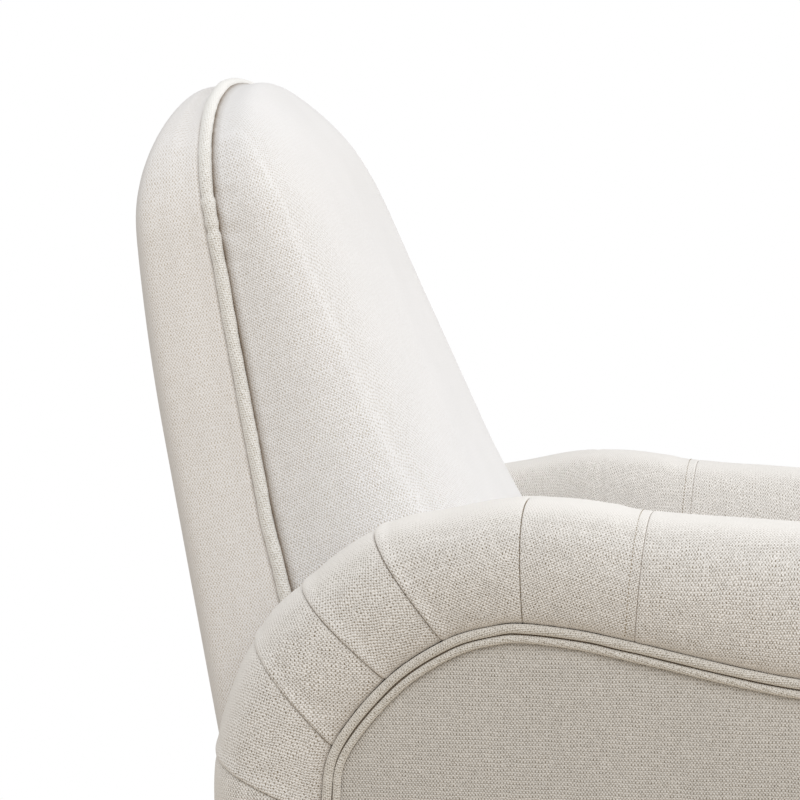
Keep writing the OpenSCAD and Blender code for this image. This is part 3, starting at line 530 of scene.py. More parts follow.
# Each fold or seam of the roll: its station at the crest and at the welt, its kind, how strong it is at the
# crest and at the welt, then the turn of the weave in front of it, in degrees, and its stretch across and along
FOLDS = [
    (1.93, 1.75, "fold", 0.75, 1.0, 29.5, 1.30, 0.93),
    (2.97, 2.95, "fold", 0.75, 1.05, -4.5, 1.28, 0.95),
    (3.97, 4.00, "fold", 0.85, 1.15, 53.5, 1.25, 0.95),
    (5.00, 5.00, "fold", 1.1, 1.2, 25.5, 1.15, 1.0),
    (7.00, 7.00, "tuck", 0.85, 0.9, -21.5, 1.1, 0.95),
    (9.00, 9.00, "seam", 0.5, 0.75, -4.0, 1.0, 1.0),
    (11.0, 11.0, "seam", 0.4, 0.6, 8.0, 1.0, 1.0),
    (11.85, 11.9, "counterfold", 1.0, 1.1, 30.0, 1.2, 0.95),
    (12.45, 12.5, "counterfold", 0.85, 1.1, -35.0, 1.25, 0.95),
    (13.1, 13.15, "counterfold", 0.75, 1.0, 5.0, 1.28, 0.95),
    (13.9, 14.0, "counterfold", 0.75, 1.0, 60.0, 1.2, 0.95),
]
FIRST_TURN = (-4.0, 1.1, 1.0)
PUFF, SETTLE = 1.9, 16.0    # how far the cloth stands up between folds, and how soon, in mm
FLANK = 12.0                # how far a fold or seam shapes the cloth on each side, in mm
# Profiles across a fold or seam: place along the arm and height, in mm. The front piece laps over the rear one.
LAP = [[-12, 0], [-5, -0.05], [-2.6, -0.3], [-1.3, -0.8], [-0.3, -1.4], [0.8, -1.5], [0.9, -1.0], [0.2, -0.4],
       [-0.4, 0.3], [-0.5, 1.1], [-0.1, 1.8], [0.8, 2.2], [2.2, 2.2], [4.5, 1.6], [8, 0.7], [12, 0]]
GROOVE = [[-12, 0], [-6, 0.15], [-3.0, 0.2], [-1.4, 0.1], [-0.7, -0.4], [-0.3, -1.3], [0, -2.2], [0.3, -1.3],
          [0.7, -0.4], [1.4, 0.1], [3.0, 0.2], [6, 0.15], [12, 0]]
PROFILES = {"fold": spline(LAP, 3), "counterfold": spline(np.array(LAP)[::-1] * (-1, 1), 3),
            "seam": spline(GROOVE, 3), "tuck": spline(GROOVE, 3)}
DRAWN_IN = {"fold": 1.0, "counterfold": 1.0, "tuck": 0.55, "seam": 0.2}     # how much of the puff each takes


def roll_x(u):
    """Sideways place: the roll bulges 17 mm over the panel, where u is 1.22."""
    return ARM_IN + ARM_THICK / 2 + ROLL_HALF * np.minimum(u, 1) + 17.0 * np.maximum(u - 1, 0) / 0.22


def roll_place(t, section):
    outer, inner = arm_at(t)
    flat = inner + section[:, 1].reshape(-1, *[1] * (t.ndim - 1), 1) * (outer - inner)
    x = np.broadcast_to(roll_x(section[:, 0]).reshape(-1, *[1] * (t.ndim - 1)), t.shape)
    return np.concatenate([x[..., None], flat], axis=-1)


def roll_speed(t, section):
    """How many mm one station measures at each row of the roll, and never less than 20."""
    a = roll_place(np.clip(t - 0.05, 0, LAST), section)
    b = roll_place(np.clip(t + 0.05, 0, LAST), section)
    return np.maximum(np.linalg.norm(b - a, axis=-1) / 0.1, 20.0)


def roll_surface(t, section):
    """Places on the plain roll, and the outward direction at each."""
    place = roll_place(t, section)
    ahead = roll_place(np.clip(t + 0.02, 0, LAST), section) - roll_place(np.clip(t - 0.02, 0, LAST), section)
    normal = unit(np.cross(np.gradient(place, axis=0), ahead))
    if normal[:, :, 0][len(normal) // 6].mean() < 0:
        normal = -normal
    return place, normal


def pleated_roll(name):
    """The arm's roll: a long padded tube, its cloth gathered into folds and seams that fan over the bends. Also
    gives its grid: places, outward directions, stations, and the way up, which is 1 at the crest."""
    full = (ROLL_HALF, ROLL_RISE)
    section = even(spline(ROLL_SECTION, 30) * full, 4.6) / full
    w = run_length(section * full)
    top = int(np.argmax(section[:, 1]))
    crest = w[top]
    climb = np.clip(w / crest, 0, 1)                    # 0 at the welt, 1 from the crest inwards
    fading = 1 - ease(1.0, 1.3, w / crest)              # folds run out on the side that faces the sitter
    short = 1 - ease(0.9, 1.06, w / crest)              # the sewn tuck ends on the crest
    stations, lifts, turns, depths = [], [], [], []

    def column(t, lift, look, depth=0.0):
        stations.append(t)
        lifts.append(lift)
        turns.append(look)
        depths.append(depth + 0 * w)

    marks = [(0.0, 0.0, None, 0, 0) + FIRST_TURN] + FOLDS + [(LAST, LAST, None, 0, 0) + FIRST_TURN]
    for before, after in zip(marks[:-1], marks[1:]):
        look = before[5:8]
        at = [mark[1] + (mark[0] - mark[1]) * climb for mark in (before, after)]
        speed = [roll_speed(t, section) for t in at]

        def flank(mark, t, fast, profile):
            lasting = {"seam": 1, "tuck": short}.get(mark[2], fading)
            strength = (mark[4] + (mark[3] - mark[4]) * climb) * lasting
            wide = 1.2 * ease(0.25, 1.0, climb) if mark[2] in ("fold", "counterfold") else 0
            for k, (d, h) in enumerate(profile):
                # where a fold has run out its cloth lies plain
                plain = profile[0, 0] + (profile[-1, 0] - profile[0, 0]) * k / (len(profile) - 1)
                d = plain + (d - plain) * lasting
                softer = 1 + wide * (1 - np.abs(d) / FLANK)**2
                settled = 1 - np.exp(-np.abs(d) / SETTLE) * DRAWN_IN[mark[2]] * lasting
                # the cloth down in a fold gets painted shade
                column(t + d * softer / fast, h * strength + PUFF * settled, look,
                       np.clip((-h * strength - 0.6) / 0.8, 0, 0.6))

        if before[2]:
            profile = PROFILES[before[2]]
            flank(before, at[0], speed[0], profile[len(profile) // 2:])
        first = at[0] + (FLANK / speed[0] if before[2] else 0)
        last = at[1] - (FLANK / speed[1] if after[2] else 0)
        long = (last - first) * (speed[0] + speed[1]) / 2
        count = max(3, int(long.max() / 5.0))
        for k in range(1 if before[2] else 0, count + (0 if after[2] else 1)):
            f = k / count
            puff = np.full(len(w), PUFF)
            for mark, reach in ((before, FLANK + long * f), (after, FLANK + long * (1 - f))):
                if mark[2]:
                    lasting = DRAWN_IN[mark[2]] * (1 if mark[2] == "seam" else fading)
                    puff = puff * (1 - np.exp(-reach / SETTLE) * lasting)
            column(first + (last - first) * f, puff, look)
        if after[2]:
            profile = PROFILES[after[2]]
            flank(after, at[1], speed[1], profile[:len(profile) // 2])
    t, lift = np.array(stations).T, np.array(lifts).T
    place, normal = roll_surface(t, section)
    lift = lift * (0.15 + 0.85 * ease(0.0, 0.10, w / crest))[:, None]
    # small gathers that run up from the welt, and slack in the cloth
    gather = wobble(place * (0, 1, 1), 15.0, 0.7) * np.exp(-w / 18.0)[:, None]
    gather = gather + 0.5 * wobble(place * (0, 1, 1), 5.5, 2.9) * np.exp(-w / 6.0)[:, None]
    slack = wobble(place, 85.0, 1.9) * ease(0.05, 0.4, w / crest)[:, None]
    lift = lift + (0.8 * gather + 0.55 * slack) * ease(0.0, 0.08, w / crest)[:, None]
    points = place + normal * lift[:, :, None]
    outer, inner = arm_at(t)
    away = outer - inner
    reach = np.linalg.norm(away, axis=2)
    extra = w[:, None] - section[:, 1][:, None] * reach
    # beyond the crest the threads run on in the roll's general direction
    main = (away / reach[:, :, None]).mean(axis=0)
    run = run_length(place[top, :, 1:])
    share = np.exp(-((run[:, None] - run[None]) / 90.0)**2) * np.gradient(run)[None].clip(0.01)
    main = unit((share @ main)[None])
    uv = (inner + section[:, 1][:, None, None] * away + extra[:, :, None] * main) * (-1, 1)
    # painted shade: darkest in the folds and down in the seam, and a little where the cloth rolls in to the
    # welt
    shade = (np.exp(-(w / 4.2)**2) + 0.09 * np.exp(-(w / 26.0)**2)).clip(0, 1)
    tucked = np.maximum(np.array(depths).T, shade[:, None])
    points = np.vstack([points, points[:1]])
    uv = np.vstack([uv, uv[-1:] + 60.0])
    eased = ease(0.92, 1.3, w / crest)[:, None]
    roll = cloth_grid(name, points, uv, turn=np.array(turns[:-1]), tucked=np.vstack([tucked, tucked[:1]]),
                      eased=np.vstack([eased, eased[:1]]))
    return roll, (points[:-1], normal, t, w / crest)


def pair(left):
    """A piece of the left arm, and its mirror image for the right arm."""
    return left, mirrored(left, left.name.replace("left", "right"))


left_roll, roll_grid = pleated_roll("arm_roll_cover_left")
for roll, side in zip(pair(left_roll), ("left", "right")):
    dress(roll, linen, replaces=["arm_roll_" + side])


def seam_path(grid, station, aside, first, last):
    """A path on the roll, aside mm in front of a seam, between two shares of the way up to the crest, and the
    outward direction along it."""
    points, normal, t, up = grid
    both = []
    for r in np.flatnonzero((up > first) & (up < last)):
        run = run_length(points[r])
        at = np.interp(station, t[r], run) + aside
        both.append((sample(points[r], run, at), sample(normal[r], run, at)))
    return np.array(both).transpose(1, 0, 2)


def stitch_row(name, seam, long=2.2, pitch=3.5, thick=0.5, across=False, sunk=0.12):
    """A row of stitches along a seam's path, or across it, sunk into the cloth. One stitch is modelled, and the
    others are its copies. All measures are in mm."""
    path, out = seam
    length = run_length(path)
    at = np.arange(pitch / 2, length[-1] - pitch / 2, pitch)
    centre = sample(path, length, at)
    way = unit(np.gradient(centre, axis=0))
    up = sample(out, length, at)
    up = unit(up - (up * way).sum(axis=1)[:, None] * way)
    side = np.cross(way, up)
    if across:
        way, side = side, way
    stitch = start_from(bpy.ops.mesh.primitive_uv_sphere_add, name, segments=8, ring_count=6, radius=1)
    shape = places(stitch)
    parts = [stitch]
    for k in range(len(centre)):
        part = stitch if k == 0 else bpy.data.objects.new(name, stitch.data.copy())
        if k:
            scene.collection.objects.link(part)
            parts.append(part)
        put(part, (centre[k] - sunk * up[k] + shape[:, 2:] * way[k] * long / 2 + shape[:, :1] * side[k] * thick
                   + shape[:, 1:2] * up[k] * thick) * MM)
    return smooth(join(name, parts))


left_stitches = join("arm_stitching_left", [
    stitch_row("tuck_stitches", seam_path(roll_grid, 7.0, 0.0, 0.04, 0.93), long=1.9, pitch=3.3, across=True,
               sunk=-1.2),
    stitch_row("top_stitches", seam_path(roll_grid, 9.0, -9.0, 0.05, 1.9)),
    stitch_row("front_stitches", seam_path(roll_grid, 11.0, 9.0, 0.05, 1.9))])
thread = stitch_thread()
for stitches in pair(left_stitches):
    dress(stitches, thread)


def arm_line(gap, step):
    """The line under the roll, moved inwards by a gap, from the rear hem over the arm to the front hem."""
    outer, inner = ARM_LINES[:, :2], ARM_LINES[:, 2:]
    line = inner + gap * unit(inner - outer)
    line[:, 1] = np.maximum(line[:, 1], HEM)
    return even(line, step)


def far_from(points, line):
    """How far each (y, z) point is from the nearest point of a line."""
    flat = points.reshape(-1, 2)
    gap = np.concatenate([np.linalg.norm(part[:, None] - line[None], axis=2).min(axis=1)
                          for part in np.array_split(flat, max(1, len(flat) // 2000))])
    return gap.reshape(points.shape[:-1])


def arched_sheet(name, face, thick, line, foot, crown, outward):
    """A padded sheet under the arm's line. Its face stands at x = face and swells by crown, and its back lies
    thick behind that. outward is 1 if the face looks away from the chair's middle, and -1 if not."""
    top = line[line[:, 1] > foot + 1.0]
    # the bottom line is divided much as the arch stands over it
    run = run_length(top)
    share = ease(-0.15, 1.15, run / run[-1])
    low = np.stack([top[0, 0] + (top[-1, 0] - top[0, 0]) * share, np.full(len(top), foot)], axis=1)
    low[0, 0], low[-1, 0] = top[0, 0], top[-1, 0]
    count = int((top[:, 1].max() - foot) / 7.0)
    share = np.linspace(0, 1, count)[:, None, None]
    flat = low[None] * (1 - share) + top[None] * share
    border = np.vstack([top, low[::-1]])
    gap = far_from(flat, even(border, 2.0))
    swell = crown * (1 - np.exp(-gap / 45.0)) - 3.15 * np.exp(-(gap / 4.0)**2)
    front = np.concatenate([(face + outward * swell)[..., None], flat], axis=2)
    front[:, :, 0] += outward * 0.5 * wobble(front, 120.0, 2.6) * ease(4, 30, gap)
    back = front.copy()
    back[:, :, 0] = face - outward * thick
    points = np.vstack([front, back[::-1]])
    uv = points[:, :, 1:] * (-1, 1)
    uv[len(front):] = uv[len(front):] + 500.0
    points = np.vstack([points, points[:1]])
    uv = np.vstack([uv, uv[:1]])
    return cloth_grid(name, points, uv)


def double_welt(name):
    """Two cords in one strip of cloth, sewn side by side and fixed over the edge of the side panel."""
    cords = []
    for k, (gap, radius, stand) in enumerate(((4.7, 4.2, 4.6), (13.8, 3.4, 3.4))):
        line = arm_line(gap, 3.0)
        line = line[(line[:, 1] > HEM + 0.5) | (np.arange(len(line)) % len(line) == 0)]
        path = beside(PANEL_FACE + stand, line)
        cords.append(cord("welt_cord", path, (1, 0, 0), radius, bias=45.0 if k else -45.0, sides=18, flat=0.92,
                          waist=1 + 0.03 * wobble(path, 40.0, 0.9 + k)))
    # the strip of cloth between the cords, down in the groove, painted brown as shade
    left, right = arm_line(6.5, 3.0), arm_line(12.5, 3.0)
    count = min(len(left), len(right))
    left, right = (line[np.rint(np.linspace(0, len(line) - 1, count)).astype(int)] for line in (left, right))
    points = np.stack([beside(PANEL_FACE + stand, left * (1 - f) + right * f) for stand, f in
                       ((3.1, 0.0), (2.6, 0.5), (2.9, 1.0), (0.2, 1.0), (0.2, 0.0), (3.1, 0.0))])
    cords.append(cloth_grid("welt_strip", points, points[:, :, 1:] * (-1, 1), tucked=0.85))
    return join(name, cords)


panels = pair(arched_sheet("side_panel_cover_left", PANEL_FACE - 0.6, 11.0, arm_line(0.7, 6.0), HEM, 3.6, 1))
pads = pair(arched_sheet("arm_pad_cover_left", ARM_IN + 1.6, 12.5, arm_line(0.7, 6.0), 105.5, 1.4, -1))
welts = pair(double_welt("double_welt_cords_left"))
for side, panel, pad, welt in zip(("left", "right"), panels, pads, welts):
    dress(panel, panel_linen_shaded, replaces=["side_panel_" + side])
    dress(pad, linen, replaces=["arm_pad_" + side])
    dress(welt, welt_linen, replaces=["double_welt_" + side])

# ---------- back ----------

LEAN_ANGLE = 10.5
BACK_Y, LEAN, BACK_HALF, ARCH = 246.0, math.radians(LEAN_ANGLE), 252.0, 2.2
CREST = 1004.0 / math.cos(LEAN)
SHOULDER = CREST - 146.0
LUMBAR_D, LUMBAR_H, LUMBAR_SLOPE, LUMBAR_ROUND = 206.0, 480.0, 0.27, 30.0
LUMBAR_Y = BACK_Y - LUMBAR_D * math.cos(LEAN) + LUMBAR_H * math.sin(LEAN)
CUSHION_FOOT = 335.0
PAD_EDGE, SHELL_EDGE = 14.0, 19.0   # how far before and behind the middle plane the covers begin to fill out


def on_back(p):
    """From the back's own measures (x, depth behind its middle plane, height along it) to the chair's."""
    x, y, h = p[..., 0], p[..., 1], p[..., 2]
    return np.stack([x, BACK_Y + y * math.cos(LEAN) + h * math.sin(LEAN),
                     h * math.cos(LEAN) - y * math.sin(LEAN)], axis=-1)


def level(z, y):
    """Height along the back at which a point at depth y stands z above the floor."""
    return (z + y * math.sin(LEAN)) / math.cos(LEAN)


def back_arch(inset, foot, drop=None, straight=120, round_steps=80):
    """The back's outline, from one foot over the crest to the other, as (x, h)."""
    drop = inset if drop is None else drop
    a, top = BACK_HALF - inset, CREST - drop
    rise = top - SHOULDER
    k = np.linspace(0, 1, straight)[:-1]
    side = np.stack([np.full(len(k), a), foot + (SHOULDER - foot) * k], axis=1)
    turn = np.linspace(0, math.pi / 2, round_steps)
    bend = np.stack([a * np.cos(turn)**(2 / ARCH), SHOULDER + rise * np.sin(turn)**(2 / ARCH)], axis=1)
    bend[-1, 0] = 0
    bend = even(bend, 1.0)
    bend = bend[np.rint(np.linspace(0, len(bend) - 1, round_steps)).astype(int)]
    right = np.vstack([side, bend])
    return np.vstack([right, (right * (-1, 1))[-2::-1]])


def pad_depth(h):
    """How far the cushion's middle stands in front of the back's middle plane."""
    upright = (BACK_Y + h * math.sin(LEAN) - LUMBAR_Y) / math.cos(LEAN)
    leaning = LUMBAR_D - (h - LUMBAR_H) * LUMBAR_SLOPE
    depth = (upright + leaning - np.sqrt((upright - leaning)**2 + LUMBAR_ROUND**2)) / 2
    return depth - 20 * (np.maximum(0, h - CREST + 86) / 85)**2


def shell_depth(h):
    """How far behind the middle plane the outside back stands."""
    return 95.0 - 11 * (np.maximum(0, h - CREST + 321) / 205)**2 - 12 * (np.maximum(0, h - CREST + 130) / 80)**2


def crown_share(h):
    return ease(LUMBAR_H - 40, LUMBAR_H + 180, h)


def welt_bow(h):
    """How far the padding pushes the welt behind the back's middle plane."""
    return 7.5 * ease(470, 640, h)


def crest_lift(h):
    """How far the welt stands up out of the crest."""
    return 4.0 * ease(CREST - 90, CREST - 6, h)


def gathers(arch):
    """How far the welt's stitches draw the cloth in: small puckers all along, and two deep ones where the
    welt's ends meet."""
    flat = arch[:, [0, 1, 1]] * (1, 1, 0)
    small = 0.8 * wobble(flat, 12.0, 3.3) + 0.4 * wobble(flat, 8.0, 1.3)
    small *= 0.6 + 0.4 * ease(600, 850, arch[:, 1])
    deep = sum(1.8 * np.exp(-((arch[:, 1] - h) / 5.0)**2) for h in (902.0, 871.0)) * (arch[:, 0] < 0)
    return small + deep


def along_foot(ring, count=44):
    """The ring with points along its foot, from its last point back to its first."""
    f = np.linspace(0, 1, count + 1)[1:-1, None]
    return np.vstack([ring, ring[-1] * (1 - f) + ring[0] * f])


def closed_rings(name, rings, dark, middle, steps, depth):
    """A closed skin over rings of points in the back's own measures. dark tells how much painted shade browns
    the first ones, down in the seam. Past the last one more rings draw together at height middle, as deep as
    depth(k, h) tells for their share k of its width and their height h."""
    rim = rings[-1]
    for k in np.linspace(1.0, 0.0, steps)[1:-1]:
        h = middle + k * (rim[:, 2] - middle)
        rings.append(np.stack([k * rim[:, 0], depth(k, h), h], axis=1))
    tip = np.array([0, depth(0, middle), middle])
    rings = [along_foot(ring) for ring in rings]
    rings = on_back(np.stack(rings + [tip + 0.02 * (rings[-1] - tip)]))
    rings = np.concatenate([rings, rings[:, :1]], axis=1)
    tucked = np.interp(np.arange(len(rings)), np.arange(len(dark)), dark, right=0)[:, None]
    return cloth_grid(name, rings, rings[:, :, :2], tucked=tucked)


def stood(arch, y):
    """The points of an outline (x, h) with their depth y."""
    return np.stack([arch[:, 0], np.broadcast_to(y, len(arch)), arch[:, 1]], axis=1)


def inner_back(name):
    """The inside back cushion: flat where it meets the seat, crowned above, rolled back at the crest."""
    rings = []
    foot_y = -pad_depth(level(CUSHION_FOOT, -LUMBAR_D * 0.9))
    for y, inset, up in ((-3.2, 16.0, 1), (-3.4, 11.0, 1), (-4.2, 7.2, 1), (-5.4, 4.8, 0.9), (-7.2, 3.0, 0.4),
                         (-10.0, 1.7, -0.3)):
        arch = back_arch(inset, level(CUSHION_FOOT, y))
        arch[:, 0] *= 1 - gathers(arch) * min(1, inset / 2) / 250
        y = y + 0.7 * gathers(arch)
        arch[:, 1] += up * crest_lift(arch[:, 1])
        rings.append(stood(arch, y + welt_bow(arch[:, 1])))
    for s in np.linspace(0.0, 0.965, 34)**1.25:
        high = 252.0 * (1 - (1 - s**2.6)**(1 / 2.6)) + 1.0
        low = 1.0 + 42.0 * s**5
        foot = level(CUSHION_FOOT, -PAD_EDGE + s * (foot_y + PAD_EDGE)) + 0.75 * low
        arches = [back_arch(low, foot), back_arch(high, foot, 0.6 * high)]
        share = crown_share(arches[0][:, 1])[:, None]
        arch = arches[0] * (1 - share) + arches[1] * share
        depth = PAD_EDGE + s * (pad_depth(arch[:, 1]) - PAD_EDGE) - (1 - s)**6 * welt_bow(arch[:, 1])
        arch[:, 0] *= 1 - gathers(arch) * (1 - ease(0, 0.16, s)) / 250
        arch[:, 1] -= 0.9 * (1 - 0.6 * ease(0, 0.5, s)) * crest_lift(arch[:, 1])
        rings.append(stood(arch, -depth))
    # the first rings lie in the crevice by the welt and get painted shade
    return closed_rings(name, rings, (1, 1, 1, 1, 0.8, 0.32, 0.06, 0.0), LUMBAR_H + 60, 16,
                        lambda k, h: -PAD_EDGE - (1 - 0.035 * k**2) * (pad_depth(h) - PAD_EDGE))


def outer_back(name):
    """The outside back: cloth over wadding from the welt round the board's edge, with a shallow valley beside
    the welt, and full behind."""
    rings = []
    for y, inset, bow, up in ((19.0, 12.6, 0, 0), (7.0, 12.6, 1, 1), (4.0, 10.4, 1, 1), (3.8, 8.0, 1, 1),
                              (4.8, 6.0, 1, 0.9), (7.0, 4.4, 1, 0.5), (10.5, 3.5, 0.8, 0),
                              (15.5, 3.0, 0.5, -0.4)):
        arch = back_arch(inset, level(HEM, y))
        arch[:, 1] += up * crest_lift(arch[:, 1])
        rings.append(stood(arch, y + bow * welt_bow(arch[:, 1])))
    for s in np.linspace(0.06, 1.0, 30):
        inset = 2.8 * (1 - ease(0.05, 0.42, s)) - 0.4 * ease(0.1, 0.5, s)
        inset += 38.0 * max(0, s - 0.5)**2 / 0.25 * s**6
        arch = back_arch(inset, level(HEM, SHELL_EDGE + s * 71))
        depth = SHELL_EDGE + s * (shell_depth(arch[:, 1]) - SHELL_EDGE)
        depth += 0.4 * (1 - s)**8 * welt_bow(arch[:, 1])
        arch[:, 1] -= 0.4 * (1 - ease(0, 0.4, s)) * crest_lift(arch[:, 1])
        rings.append(stood(arch, depth))
    # the first rings lie in the valley by the welt and get painted shade
    return closed_rings(name, rings, (0.6, 0.6, 0.6, 0.6, 0.45, 0.2, 0.0), 560, 18,
                        lambda k, h: shell_depth(h) + 3.0 * (1 - k**2))


def lay_flat(obj, side_turn, up_cloth):
    """Gives a padded piece two laid-flat maps in mm: one over its front and top, where up_cloth tells how far
    up the cloth a place is, and one for its sides, with the threads turned by side_turn degrees."""
    p = places(obj) / MM
    corner = corner_points(obj)
    write_map(obj, np.stack([p[:, 0], up_cloth(p)], axis=1)[corner])
    write_map(obj, spun(-p[:, 1], p[:, 2], side_turn)[corner], "side_map")
    normal = np.empty(len(p) * 3)
    obj.data.vertex_normals.foreach_get("vector", normal)
    write_mark(obj, "sideways", ease(0.55, 0.72, np.abs(normal.reshape(-1, 3)[:, 0])))


def off_back(p):
    """Depth behind the back's middle plane and height along it, of places in the chair's measures."""
    y, z = p[:, 1] - BACK_Y, p[:, 2]
    return y * math.cos(LEAN) - z * math.sin(LEAN), y * math.sin(LEAN) + z * math.cos(LEAN)


def over_front(p):
    """Up the front of the back, then over its top to the welt."""
    y, h = off_back(p)
    return h + pad_depth(h) + y


def over_rear(p):
    y, h = off_back(p)
    return h + shell_depth(h) - y


def over_box(p):
    """Up the front of a boxed pad and over its top to the rear."""
    return p[:, 2] + p[:, 1]


SWELL_FRAMES = 20


def swell(obj, voxel, cap, sewn, low, high):
    """Blows a piece up inside its cloth. Its mesh is made even, voxel mm fine, and no point moves further than
    cap mm. sewn picks the points that stay. The pieces round it hold it between low and high."""
    only(obj)
    obj.data.remesh_voxel_size = voxel * MM
    bpy.ops.object.voxel_remesh()
    start = places(obj)
    cloth = obj.modifiers.new("cloth", "CLOTH")
    cloth.settings.use_pressure = True
    cloth.settings.uniform_pressure_force = 4.0
    cloth.settings.effector_weights.gravity = 0
    cloth.settings.quality = 5
    cloth.settings.tension_stiffness = cloth.settings.compression_stiffness = 25
    cloth.settings.bending_stiffness = 2.0
    group = obj.vertex_groups.new(name="sewn")
    group.add([int(k) for k in np.flatnonzero(sewn(start / MM))], 1.0, "REPLACE")
    cloth.settings.vertex_group_mass = "sewn"
    cloth.point_cache.frame_start, cloth.point_cache.frame_end = 1, SWELL_FRAMES
    for frame_number in range(1, SWELL_FRAMES + 1):
        scene.frame_set(frame_number)
    only(obj)
    bpy.ops.object.modifier_apply(modifier="cloth")
    scene.frame_set(1)
    move = places(obj) - start
    far = np.linalg.norm(move, axis=1)[:, None] / (cap * MM)
    moved = start + move * np.where(far > 1e-6, np.tanh(far) / np.maximum(far, 1e-6), 1)
    put(obj, np.clip(moved, np.array(low) * MM, np.array(high) * MM))
    apply_modifier(obj, "SMOOTH", factor=0.5, iterations=2)
    apply_modifier(obj, "SUBSURF", levels=1, render_levels=1)
    return smooth(obj)


cushion = inner_back("back_cushion_cover")
lay_flat(cushion, 26.0, over_front)
dress(cushion, soft_linen, replaces=["back_cushion"])

shell = outer_back("outside_back_cover")
lay_flat(shell, LEAN_ANGLE, over_rear)
dress(shell, rear_linen, replaces=["outside_back"])


def back_piping(name):
    """The welt round the back: a cord in a bias-cut strip, drawn in by its stitches, with two puckers where the
    strip's ends meet."""
    arch = even(back_arch(5.0, level(HEM + 20, 0), straight=150, round_steps=150), 2.4)
    bow = welt_bow(arch[:, 1])
    arch[:, 1] += crest_lift(arch[:, 1])
    arch[:, 0] *= 1 + 1.2 / 247.0
    uneven = 0.4 * wobble(arch[:, [0, 1, 1]] * (1, 1, 0), 60.0, 1.2)
    path = on_back(stood(arch, bow + uneven))
    waist = 1 + 0.035 * wobble(path, 22.0, 2.2) + 0.035 * wobble(path, 9.0, 0.4)
    for place, deep, wide in ((905.0, -0.13, 3.0), (899.0, 0.10, 4.0), (874.0, -0.14, 3.0), (868.0, 0.09, 4.5),
                              (880.5, 0.06, 3.5), (846.0, -0.05, 4.0)):
        waist += deep * np.exp(-((arch[:, 1] - place) / wide)**2) * (arch[:, 0] < 0)
    along = np.gradient(path, axis=0)
    out = np.cross(along, on_back(np.array([0, 1.0, 0])) - on_back(np.zeros(3)))
    return cord(name, path, -out, 6.1, sides=20, waist=waist)


piping = back_piping("back_welt_cord")
dress(piping, rear_welt_linen, replaces=["back_welt"])

# ---------- seat ----------

SEAT_HALF, SEAT_FRONT, SEAT_REAR, SEAT_LOW, SEAT_HIGH, SEAT_CORNER = 251.5, -445.0, 128.0, 334.0, 467.0, 42.0
SEAT_MIDDLE = np.array([0, (SEAT_FRONT + SEAT_REAR) / 2, (SEAT_LOW + SEAT_HIGH) / 2])


def seat_ring(inset, r, step=11.0):
    """The seat cushion's outline, inset mm in, with corners of radius r, from its rear left corner round."""
    x1, x0, y1, y0 = SEAT_HALF - inset, -SEAT_HALF + inset, SEAT_REAR - inset, SEAT_FRONT + inset
    turn = np.linspace(0, math.pi / 2, 8)
    corners = []
    for k, (cx, cy) in enumerate(((x1 - r, y1 - r), (x0 + r, y1 - r), (x0 + r, y0 + r), (x1 - r, y0 + r))):
        a = turn + k * math.pi / 2
        corners.append(np.stack([cx + r * np.cos(a), cy + r * np.sin(a)], axis=1))
    line = np.vstack(corners + [corners[0][:1]])
    return even(line, step)


def seat_block(name):
    """The loose seat cushion: boxed sides between two sewn edges, a crowned top and a flat bottom."""
    rings = []
    for z, inset in ((0.0, 60.0), (0.0, 20.0), (0.03, 9.0), (0.09, 4.0), (0.2, 1.5), (0.35, 0.3), (0.5, 0.0),
                     (0.65, 0.3), (0.8, 1.5), (0.91, 4.0), (0.97, 9.0), (1.0, 14.0)):
        rings.append((seat_ring(inset, SEAT_CORNER), SEAT_LOW + z * (SEAT_HIGH - SEAT_LOW)))
    count = max(len(ring) for ring, z in rings)
    stack = []
    for ring, z in rings:
        length = run_length(ring)
        ring = sample(ring, length, np.linspace(0, length[-1], count))
        stack.append(np.concatenate([ring, np.full((count, 1), z)], axis=1))
    middle = SEAT_MIDDLE * (1, 1, 0)
    bottom, top = stack[0], stack[-1]
    for k in np.linspace(1, 0.02, 26)[1:]:
        stack.append(middle + (top - middle) * (k, k, 1) + (0, 0, 13.0 * (1 - k**2.4)))
    for k in np.linspace(1, 0.02, 20)[1:]:
        stack.insert(0, middle + (bottom - middle) * (k, k, 1))
    points = np.stack(stack)
    return cloth_grid(name, points, points[:, :, :2])


def edge_cord(name, z):
    """The welt round one sewn edge of the seat cushion, at height z."""
    ring = seat_ring(3.6, SEAT_CORNER + 2, step=3.0)
    path = np.concatenate([ring, np.full((len(ring), 1), z)], axis=1)
    path = np.vstack([path[:-1], path[:1]])
    return cord(name, path, (0, 0, 1), 4.2, dark=0.0, loop=True)


def by_seat_seams(p):
    """The strips of cloth beside the two sewn edges of the seat cushion."""
    half = np.array([SEAT_HALF, (SEAT_REAR - SEAT_FRONT) / 2])
    past = np.abs(p[:, :2] - SEAT_MIDDLE[:2]) - (half - SEAT_CORNER)
    inside = SEAT_CORNER - np.linalg.norm(np.maximum(past, 0), axis=1) - np.minimum(past.max(axis=1), 0)
    return (inside < 15) & (np.abs(p[:, 2] - SEAT_MIDDLE[2]) > 50)


seat = seat_block("seat_cushion_cover")
seat = swell(seat, 7.0, 9.0, by_seat_seams, (-254.5, -452.0, SEAT_LOW), (254.5, 128.5, 500.0))
lay_flat(seat, 0.0, over_box)
dress(seat, soft_linen, replaces=["seat_cushion"])
edges = join("seat_cushion_welts", [edge_cord("welt_top", SEAT_HIGH - 3.5),
                                    edge_cord("welt_bottom", SEAT_LOW + 3.5)])
dress(edges, welt_linen)


